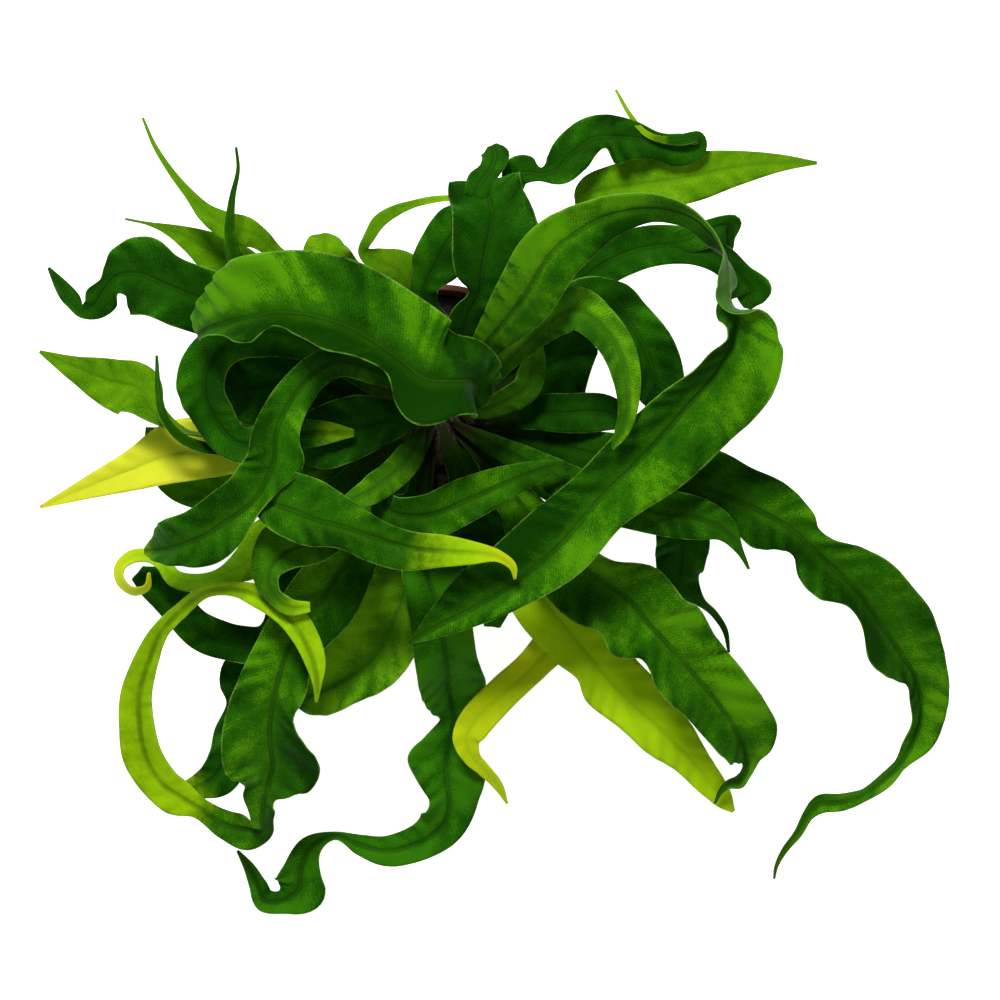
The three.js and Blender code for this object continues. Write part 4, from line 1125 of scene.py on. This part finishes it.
        (146, 79, 152, 4), (145.5, 76, 150, 1.4),
    ))),
    Frond("frond_27_right_inner", Tone.DEEP, 2, 26, Blade(8, Wave(1.8, 4, 0.4, 1.2), 20, (
        (31, 22, 128, 9), (52, 42, 160, 16), (77, 54, 184, 20), (86, 51, 190, 23, 0, 1.2),
        (93, 45, 194, 21.5), (104, 27, 192, 27, 0, 2.6), (110, 6, 184, 22, 0, 1),
        (111, -8, 176, 6),
    ))),
    Frond("frond_28_hanging", Tone.FRESH, 1, 20, Blade(8, Wave(1.2, 4, 0.1, 0.3), 24, (
        (22, 9, 146, 7), (40, 28, 186, 13), (56, 42, 212, 18), (69, 48, 226, 22),
        (81, 40, 233, 19), (90, 28, 236, 17), (94.3, 12, 235, 13.8), (94.6, -4, 232, 9.5),
        (91.5, -14, 229, 7), (87, -22, 226, 1.6),
    ), lit=(0.7, -0.5, 0.0, 0.0))),
    Frond("frond_29_light_hook", Tone.FRESH, 1, 340, Blade(9, Wave(0.8, 3, 0, 0), 20, (
        (22, -3, 132, 8), (34, 2, 156, 13, 10), (44, 9, 170, 15, 20), (47, 20, 174, 14, 25),
        (47, 32, 178, 11, 10), (53, 42, 182, 2),
    ))),
    Frond("frond_30_centre_strap", Tone.MID, 1, 255, Blade(10, Wave(1.0, 3, 0, 0.6), 26, (
        (-10, -24, 130, 8), (-22, -38, 156, 14, 10), (-25, -52, 172, 18, 25),
        (-6, -55, 182, 22, 15), (16, -47, 186, 22), (36, -38, 187, 17), (52, -32, 187, 9),
        (64, -29, 186, 1.6),
    ))),
    Frond("frond_31_inner_strap", Tone.DEEP, 2, 346, Blade(8, Wave(1.4, 3, 0.3, 0.5), 16, (
        (31, -5, 124, 11), (46, -4, 144, 16), (62, -4, 158, 20), (84, -4, 162, 18),
        (102, -11, 158, 3),
    ))),
    Frond("frond_32_tapered", Tone.MID, 1, 312, Blade(8, Wave(1.2, 4, 0, 0.4), 18, (
        (24, -18, 130, 9), (50, -31, 160, 16), (80, -46, 182, 22), (108, -53, 191, 24),
        (131, -57, 190, 21), (144, -63, 186, 12), (151, -73, 182, 4), (155.5, -82, 178, 1.4),
    ))),
    Frond("frond_33_hanging_tail", Tone.DEEP, 3, 322, Blade(7, Wave(1.2, 4, 0, 0), 26, (
        (44, -34, 108, 12), (76, -46, 126, 20), (100, -46, 132, 18), (116, -53, 133, 22),
        (122.5, -66, 131, 27), (121.5, -78, 124, 25), (121.5, -87, 119, 20),
        (126, -93.5, 114, 13, 10), (132, -99, 109, 5.5, 30), (138, -104, 104, 4.5, 40),
        (144, -113, 99, 3, 20), (146, -124, 94, 1.4),
    ))),
    Frond("frond_34_lower_left", Tone.DEEP, 3, 230, Blade(9, Wave(2.0, 4, 0.2, 0.6), 24, (
        (-34, -44, 108, 10), (-58, -86, 116, 32, 0, -5.5), (-82, -119, 116, 22, 0, -1),
        (-100, -120, 113, 19), (-116, -115, 109, 19), (-128, -105, 104, 18),
        (-140, -93, 100, 21, 0, -2.5), (-151, -84, 96, 9),
    ))),
    Frond("frond_35_left_under", Tone.DEEP, 3, 246, Blade(8, Wave(1.2, 4, 0.3, 0), 22, (
        (-26, -54, 103, 9), (-50, -92, 102, 18), (-76, -124, 94, 24), (-94, -139, 89, 31, 0, -1.5),
        (-97, -152, 84, 17, 0, -1.5), (-103, -166, 80, 20), (-106, -176, 76, 21, 0, 1.5),
        (-113, -187, 72, 19, 0, 1.5), (-124, -193, 69, 11), (-137, -198, 67, 8),
        (-146, -195, 66, 2),
    ), ripe=(0.72, 1.2, 1.0))),
    Frond("frond_36_low_fold", Tone.FRESH, 3, 263, Blade(10, Wave(1.6, 4, 0.1, 0.3), 22, (
        (-8, -54, 106, 10), (-13, -84, 116, 32, 0, -3), (-23, -109, 116, 48, 0, -7),
        (-34, -128, 110, 43, 0, -5.5), (-48, -138, 104, 30, 0, -2), (-60, -144, 98, 24),
        (-69, -147, 94, 16), (-72, -148, 92.5, 8),
    ), lit=(0.8, 0.9, 0.0, 0.5))),
    Frond("frond_37_small_light", Tone.FRESH, 1, 228, Blade(12, Wave(1.2, 4, 0, 0.4), 14, (
        (-11, -19, 142, 9), (-14, -25, 162, 14), (-24, -36, 176, 15), (-34, -43, 184, 14),
        (-44, -48, 190, 8), (-52, -53, 193, 1.6),
    ))),
    Frond("frond_38_left_low", Tone.FRESH, 3, 208, Blade(8, Wave(0.8, 3, 0, 0.3), 16, (
        (-50, -27, 101.5, 16, 0, 2.8), (-84, -40, 101, 18, 0, 0.8), (-115, -43, 96, 20),
        (-133, -37, 91, 17), (-142, -24, 87, 12), (-142.5, -11, 84, 9),
    ))),
    Frond("frond_39_centre_dark", Tone.DEEP, 0, 225, Blade(10, Wave(1.4, 3, 0, 0.5), 14, (
        (-12, -5, 140, 10), (-28, -8, 158, 24), (-46, -12, 166, 32), (-61, -16, 163, 30, 0, 2),
        (-73, -20, 158, 14, 0, 1),
    ))),
    Frond("frond_40_south_small", Tone.DEEP, 1, 283, Blade(10, Wave(0.8, 3, 0, 0.5), 14, (
        (6, -22, 124, 9), (12, -33, 134, 16), (19, -46, 131, 22, 0, -4), (26, -66, 130, 31, 0, -6),
        (28, -86, 131, 26, 0, -2), (28, -100, 129, 18), (27, -111, 124, 8),
    ))),
    Frond("frond_41_dark_column", Tone.DEEP, 1, 72, Blade(8, Wave(1.6, 4, 0.15, 0), 20, (
        (10, 24, 134, 9), (15, 44, 164, 18), (21, 57, 178, 15, 0, -2), (22, 67, 186, 28, 0, -1),
        (25, 82, 192, 46, 0, -5), (27, 94, 191, 42, 0, -1), (26, 102, 188, 37, 0, 1),
        (23.5, 109, 184, 38), (23, 112, 182, 35),
    )), fork=Blade(6, Wave(0.5, 2, 0, 0), 10, (
        (18, 104, 188, 10), (21, 111, 186, 14), (25.5, 117, 181, 11), (28, 122, 177, 13),
        (28.5, 126, 175, 14), (27, 130, 173, 5),
    ))),
    Frond("frond_42_mid_right", Tone.DEEP, 2, 6, Blade(8, Wave(1.2, 3, 0.3, 0.3), 14, (
        (34, 8, 114, 10), (50, 16, 132, 26), (64, 24, 143, 42, 0, -1), (72, 26.5, 146, 28, 0, -3),
        (80, 27, 146, 2),
    ))),
)


@dataclass(frozen=True)
class Pot:
    """The tapered round nursery pot with its stepped rim and drain holes, in millimetres."""

    height: float = 98.0
    top_radius: float = 61.0
    base_radius: float = 44.0
    wall: float = 1.6
    floor: float = 2.0
    rim_depth: float = 9.0
    rim_step: float = 1.6
    holes: int = 8
    hole_radius: float = 4.5
    hole_ring: float = 30.0
    hole_sides: int = 24
    sides: int = 128
    crease: float = 32.0

    def wall_radius(self, height: float) -> float:
        """Outer radius of the plain wall at a height."""
        spread = self.top_radius - self.rim_step - self.base_radius
        return self.base_radius + spread * height / self.height

    def outline(self) -> list[tuple[float, float]]:
        """Draws the turned section.

        Returns:
            Radius and height of its points, from the middle of the underside to that of the floor.
        """
        rim = self.height - self.rim_depth
        outer, top = self.wall_radius, self.height
        inner = outer(top) - self.wall
        step = [
            (outer(rim) - 0.1, rim - 1.2), (outer(rim) + 0.3, rim - 0.3),
            (self.top_radius - 1.1, rim),
        ]
        lip = [
            (self.top_radius - 0.7, rim + 0.5), (self.top_radius - 0.25, top - 2.4),
            (self.top_radius, top - 1.4), (self.top_radius - 0.2, top - 0.5),
            (self.top_radius - 0.8, top), (inner + 0.6, top), (inner + 0.1, top - 0.5),
        ]
        foot = [(0.0, 1.2), (self.base_radius - 4.0, 1.2), (self.base_radius - 3.2, 0.2),
                (self.base_radius - 2.6, 0.0), (outer(0) - 0.6, 0.0), (outer(0), 0.6)]
        inside = [(outer(self.floor) - self.wall, self.floor + 1.0),
                  (outer(self.floor) - self.wall - 1.0, self.floor), (0.0, self.floor)]
        return foot + step + lip + inside

    def build(self, finishes: dict[str, bpy.types.Material]) -> bpy.types.Object:
        """Turns the pot, cuts its drain holes and puts it in the node's place.

        Args:
            finishes: the materials by name.

        Returns:
            The piece.
        """
        bm = bmesh.new()
        turn_outline(bm, self.outline(), self.sides)
        pot = piece_from(bm, "nursery_pot")
        cutters = bmesh.new()
        for i in range(self.holes):
            place = around(self.hole_ring, 2 * math.pi * i / self.holes, 0.0)
            bmesh.ops.create_cone(
                cutters, cap_ends=True, segments=self.hole_sides, radius1=self.hole_radius * MM,
                radius2=self.hole_radius * MM, depth=10 * MM, matrix=Matrix.Translation(place),
            )
        cutter = piece_from(cutters, "drain_cutter")
        cut = pot.modifiers.new("drain", "BOOLEAN")
        cut.object, cut.solver, cut.operation = cutter, "EXACT", "DIFFERENCE"
        settle(pot)
        bpy.data.objects.remove(cutter)
        pot.data.materials.clear()
        pot.data.materials.append(finishes["pot_plastic"])
        shade_by_angle(pot, self.crease)
        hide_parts("pot")
        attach(pot, BODY)
        return pot


@dataclass(frozen=True)
class Soil:
    """The peat that fills the pot, crumbly on top, with bark and perlite lying in it."""

    low: float = 2.3
    edge: float = 83.0
    middle: float = 85.5
    crown_radius: float = 31.0
    sides: int = 96
    rings: int = 26
    grains: int = 420

    def top_at(self, radius: float, outer: float) -> float:
        """Height of the peat at a radius, a little higher round the crown."""
        return self.edge + (self.middle - self.edge) * (1.0 - radius / outer)

    def build(self, finishes: dict[str, bpy.types.Material]) -> bpy.types.Object:
        """Models the peat with its grains and puts it in the node's place.

        Args:
            finishes: the materials by name.

        Returns:
            The piece.
        """
        pot = Pot()
        outer = pot.wall_radius(self.edge) - pot.wall - 0.3
        foot = pot.wall_radius(self.low) - pot.wall - 0.6
        section = [(0.0, self.low), (foot, self.low), (outer, self.edge - 1.0)]
        for i in range(self.rings + 1):
            radius = (outer - 0.4) * (1.0 - i / self.rings)
            section.append((radius, self.top_at(radius, outer)))
        bm = bmesh.new()
        turn_outline(bm, section, self.sides)
        bm.normal_update()
        for vert in bm.verts:
            radius = math.hypot(vert.co.x, vert.co.y) / MM
            if vert.co.z > (self.edge - 0.5) * MM and radius < outer - 1.0:
                roughen(vert, 180.0, 4)
        self.scatter(bm, outer)
        peat = piece_from(bm, "peat_with_grit")
        for finish in ("peat_mix", "grit_perlite", "grit_bark"):
            peat.data.materials.append(finishes[finish])
        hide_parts("soil")
        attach(peat, BODY)
        return peat

    def scatter(self, bm: bmesh.types.BMesh, outer: float) -> None:
        """Strews grains over the peat.

        Args:
            bm: the mesh that they join.
            outer: radius of the peat's top.
        """
        ring = sunflower(self.grains, self.crown_radius, outer - 2.5)
        for i, (radius, turn) in enumerate(ring):
            angle = turn + noise.noise(Vector((i * 0.37, 0.0, 0.0)))
            pale = i % 7 == 0
            size = 0.7 + 0.6 * abs(noise.noise(Vector((0.0, i * 0.71, 4.0))))
            size *= 1.0 if pale else 0.8
            place = around(radius, angle, self.top_at(radius, outer) - 0.1)
            spin = Matrix.Rotation(i * 1.7, 4, "Z") @ Matrix.Rotation(i * 0.9, 4, "X")
            shape = Matrix.Diagonal((1.0, 0.7, 0.55, 1.0) if pale else (1.9, 0.8, 0.4, 1.0))
            made = bmesh.ops.create_icosphere(
                bm, subdivisions=1, radius=size * MM,
                matrix=Matrix.Translation(place) @ spin @ shape,
            )
            for face in {face for vert in made["verts"] for face in vert.link_faces}:
                face.material_index = 1 if pale else 2


@dataclass(frozen=True)
class Crown:
    """The fibrous crown in the middle of the peat, with chaffy scales and stubs of old fronds."""

    foot: float = 78.0
    shoulder: float = 88.0
    top: float = 97.0
    radius: float = 31.0
    sides: int = 72
    scales: int = 340

    def height_at(self, radius: float) -> float:
        """Height of the dome at a radius."""
        share = min(radius / self.radius, 1.0)
        return self.shoulder + (self.top - self.shoulder) * math.sqrt(max(0.0, 1.0 - share**3))

    def build(self, finishes: dict[str, bpy.types.Material]) -> bpy.types.Object:
        """Models the crown and puts it in the node's place.

        Args:
            finishes: the materials by name.

        Returns:
            The piece.
        """
        rim = self.radius
        section = [(0.0, self.foot), (rim - 0.4, self.foot), (rim, self.foot + 1.0)]
        section += [(rim, height) for height in (82.0, 85.0, self.shoulder)]
        for i in range(1, 21):
            radius = self.radius * (1.0 - (i / 20.0) ** 1.2)
            section.append((radius, self.height_at(radius)))
        bm = bmesh.new()
        turn_outline(bm, section, self.sides)
        for vert in bm.verts:
            if vert.co.z > 86 * MM:
                roughen(vert, 160.0, 3)
        self.clothe(bm)
        crown = piece_from(bm, "fibrous_crown")
        crown.data.materials.append(finishes["crown_fibre"])
        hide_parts("crown")
        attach(crown, BODY)
        return crown

    def clothe(self, bm: bmesh.types.BMesh) -> None:
        """Sets the slim brown scales round the dome, leaning outwards.

        Args:
            bm: the mesh that they join.
        """
        for i, (radius, angle) in enumerate(sunflower(self.scales, 0.0, self.radius - 2.5)):
            tall = (3.6 + 1.6 * noise.noise(Vector((i * 0.53, 2.0, 0.0)))) * MM
            place = Matrix.Translation(around(radius, angle, self.height_at(radius) - 1.4))
            tilt = Matrix.Rotation(0.25 + 0.6 * radius / self.radius, 4, "Y")
            lean = Matrix.Rotation(angle, 4, "Z") @ tilt
            bmesh.ops.create_cone(
                bm, cap_ends=True, segments=5, radius1=0.75 * MM, radius2=0.08 * MM, depth=tall,
                matrix=place @ lean @ Matrix.Translation((0, 0, tall / 2)),
            )


def around(radius: float, angle: float, height: float) -> Vector:
    """A point round the pot's axis.

    Args:
        radius: how far from the axis, in millimetres.
        angle: how far round, in radians.
        height: how far up, in millimetres.

    Returns:
        The point, in metres.
    """
    return Vector((radius * math.cos(angle), radius * math.sin(angle), height)) * MM


def sunflower(count: int, inner: float, outer: float) -> Iterator[tuple[float, float]]:
    """Spreads points evenly over a ring, as the seeds lie in a sunflower.

    Args:
        count: how many points.
        inner: radius of the ring's hole.
        outer: radius of the ring.

    Yields:
        Radius and angle of each point.
    """
    golden = math.pi * (3.0 - math.sqrt(5.0))
    for i in range(count):
        share = (i + 0.5) / count
        yield math.sqrt(inner**2 + share * (outer**2 - inner**2)), golden * i


def roughen(vert: bmesh.types.BMVert, scale: float, octaves: int) -> None:
    """Moves a point up or down into soft lumps, and down a little on the whole.

    Args:
        vert: the point.
        scale: lumps to the metre.
        octaves: how many sizes of lump are laid over each other.
    """
    vert.co.z += (0.9 * noise.fractal(vert.co * scale, 0.8, 2.0, octaves) - 0.6) * MM


def turn_outline(bm: bmesh.types.BMesh, outline: list[tuple[float, float]], sides: int) -> None:
    """Spins a section round the pot's axis into a closed skin.

    Args:
        bm: the mesh that it joins.
        outline: radius and height of each point, in millimetres, from axis to axis.
        sides: faces round.
    """
    verts = [bm.verts.new((radius * MM, 0.0, height * MM)) for radius, height in outline]
    edges = [bm.edges.new(pair) for pair in zip(verts, verts[1:])]
    bmesh.ops.spin(
        bm, geom=verts + edges, cent=(0, 0, 0), axis=(0, 0, 1), dvec=(0, 0, 0),
        angle=2 * math.pi, steps=sides, use_merge=True, use_duplicate=False,
    )
    bmesh.ops.remove_doubles(bm, verts=bm.verts[:], dist=1e-6)
    bmesh.ops.recalc_face_normals(bm, faces=bm.faces[:])


def settle(piece: bpy.types.Object) -> None:
    """Writes a piece's live modifiers into its mesh.

    Args:
        piece: the piece.
    """
    shown = piece.evaluated_get(bpy.context.evaluated_depsgraph_get())
    mesh = bpy.data.meshes.new_from_object(shown)
    piece.modifiers.clear()
    piece.data = mesh


def shade_by_angle(piece: bpy.types.Object, degrees: float) -> None:
    """Shades a piece smooth, but for its sharper edges.

    Args:
        piece: the piece.
        degrees: the angle from which an edge stays sharp.
    """
    bm = bmesh.new()
    bm.from_mesh(piece.data)
    for face in bm.faces:
        face.smooth = True
    for edge in bm.edges:
        edge.smooth = edge.calc_face_angle(0.0) < math.radians(degrees)
    bm.to_mesh(piece.data)
    bm.free()


@dataclass(frozen=True)
class Lamp:
    """A soft square lamp that faces the plant: its place and side in metres, its power in watts."""

    name: str
    place: Place
    power: float
    size: float

    def hang(self) -> None:
        """Puts the lamp in the scene."""
        data = bpy.data.lights.new(self.name, "AREA")
        data.energy, data.size = self.power, self.size
        lamp = bpy.data.objects.new(self.name, data)
        lamp.location = self.place
        aim = Vector((0.0, 0.0, 0.15)) - Vector(self.place)
        lamp.rotation_euler = aim.to_track_quat("-Z", "Y").to_euler()
        bpy.context.scene.collection.objects.link(lamp)


@dataclass(frozen=True)
class Studio:
    """A pale floor, soft lights and the camera that looks straight down on the plant."""

    camera_place: Place = (0.031, -0.0475, 20.19)
    lens: float = 1440.0
    sensor: float = 36.0
    clip: tuple[float, float] = (0.1, 60.0)
    floor_half: float = 6.0
    floor_drop: float = 0.3 * MM
    sky: float = 0.11
    lamps: tuple[Lamp, ...] = (
        Lamp("key_lamp", (-0.35, 1.25, 2.4), 68.0, 0.6),
        Lamp("fill_lamp", (1.3, -0.3, 2.3), 8.0, 1.4),
        Lamp("front_lamp", (-0.3, -1.6, 1.7), 7.0, 1.4),
    )

    def build(self, finishes: dict[str, bpy.types.Material]) -> None:
        """Sets up the floor, the lights and the camera.

        Args:
            finishes: the materials by name.
        """
        bm = bmesh.new()
        bmesh.ops.create_grid(bm, x_segments=2, y_segments=2, size=self.floor_half)
        bmesh.ops.translate(bm, verts=bm.verts[:], vec=(0.0, 0.0, -self.floor_drop))
        floor = piece_from(bm, "studio_floor")
        floor.data.materials.append(finishes["studio_floor"])
        for lamp in self.lamps:
            lamp.hang()
        world = bpy.data.worlds.new("studio_air")
        world.use_nodes = True
        air = world.node_tree.nodes["Background"]
        air.inputs[0].default_value = (1.0, 1.0, 1.0, 1.0)
        air.inputs[1].default_value = self.sky
        scene = bpy.context.scene
        scene.world = world
        scene.view_settings.view_transform = "Standard"
        data = bpy.data.cameras.new("camera_overhead")
        data.lens, data.sensor_width = self.lens, self.sensor
        data.clip_start, data.clip_end = self.clip
        camera = bpy.data.objects.new("camera_overhead", data)
        camera.location = self.camera_place
        scene.collection.objects.link(camera)
        scene.camera = camera


def make_finishes() -> dict[str, bpy.types.Material]:
    """Makes every material once.

    Returns:
        The materials by name.
    """
    leaves = (
        LeafFinish(
            Tone.DEEP.value, (0.004, 0.034, 0.001), (0.010, 0.078, 0.002), (0.032, 0.170, 0.003),
            rib_shade=0.60,
        ),
        LeafFinish(
            Tone.MID.value, (0.005, 0.040, 0.001), (0.018, 0.108, 0.002), (0.080, 0.270, 0.003),
            rib_shade=0.75,
        ),
        LeafFinish(
            Tone.FRESH.value, (0.012, 0.075, 0.002), (0.038, 0.160, 0.003), (0.135, 0.350, 0.005),
            rib_shade=0.50,
        ),
        LeafFinish(
            Tone.LIME.value, (0.038, 0.145, 0.002), (0.098, 0.265, 0.003), (0.220, 0.420, 0.005),
            rib_shade=0.22,
        ),
        LeafFinish(
            Tone.YELLOW.value, (0.025, 0.100, 0.002), (0.060, 0.210, 0.003), (0.160, 0.370, 0.005),
            rib_shade=0.40, turning=(0.40, 0.55, 0.006), ripe=(0.74, 0.78, 0.035),
        ),
    )
    backs = (leaf.back() for leaf in leaves)
    rest = (
        MarginFinish(), PotFinish(), PeatFinish(), CrownFinish(), FloorFinish(),
        GritFinish("grit_perlite", (0.42, 0.40, 0.36), (0.78, 0.76, 0.70)),
        GritFinish("grit_bark", (0.030, 0.016, 0.008), (0.130, 0.070, 0.032)),
    )
    return {finish.name: finish.build() for finish in (*leaves, *backs, *rest)}


def main() -> None:
    """Builds every piece in order and reports it."""
    logging.basicConfig(level=logging.INFO, format="%(name)s: %(message)s")
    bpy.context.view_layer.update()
    finishes = make_finishes()
    for part in (Pot(), Soil(), Crown(), *FRONDS):
        piece = part.build(finishes)
        LOG.info("%s: %d faces", piece.name, len(piece.data.polygons))
    Studio().build(finishes)


if __name__ == "__main__":
    main()
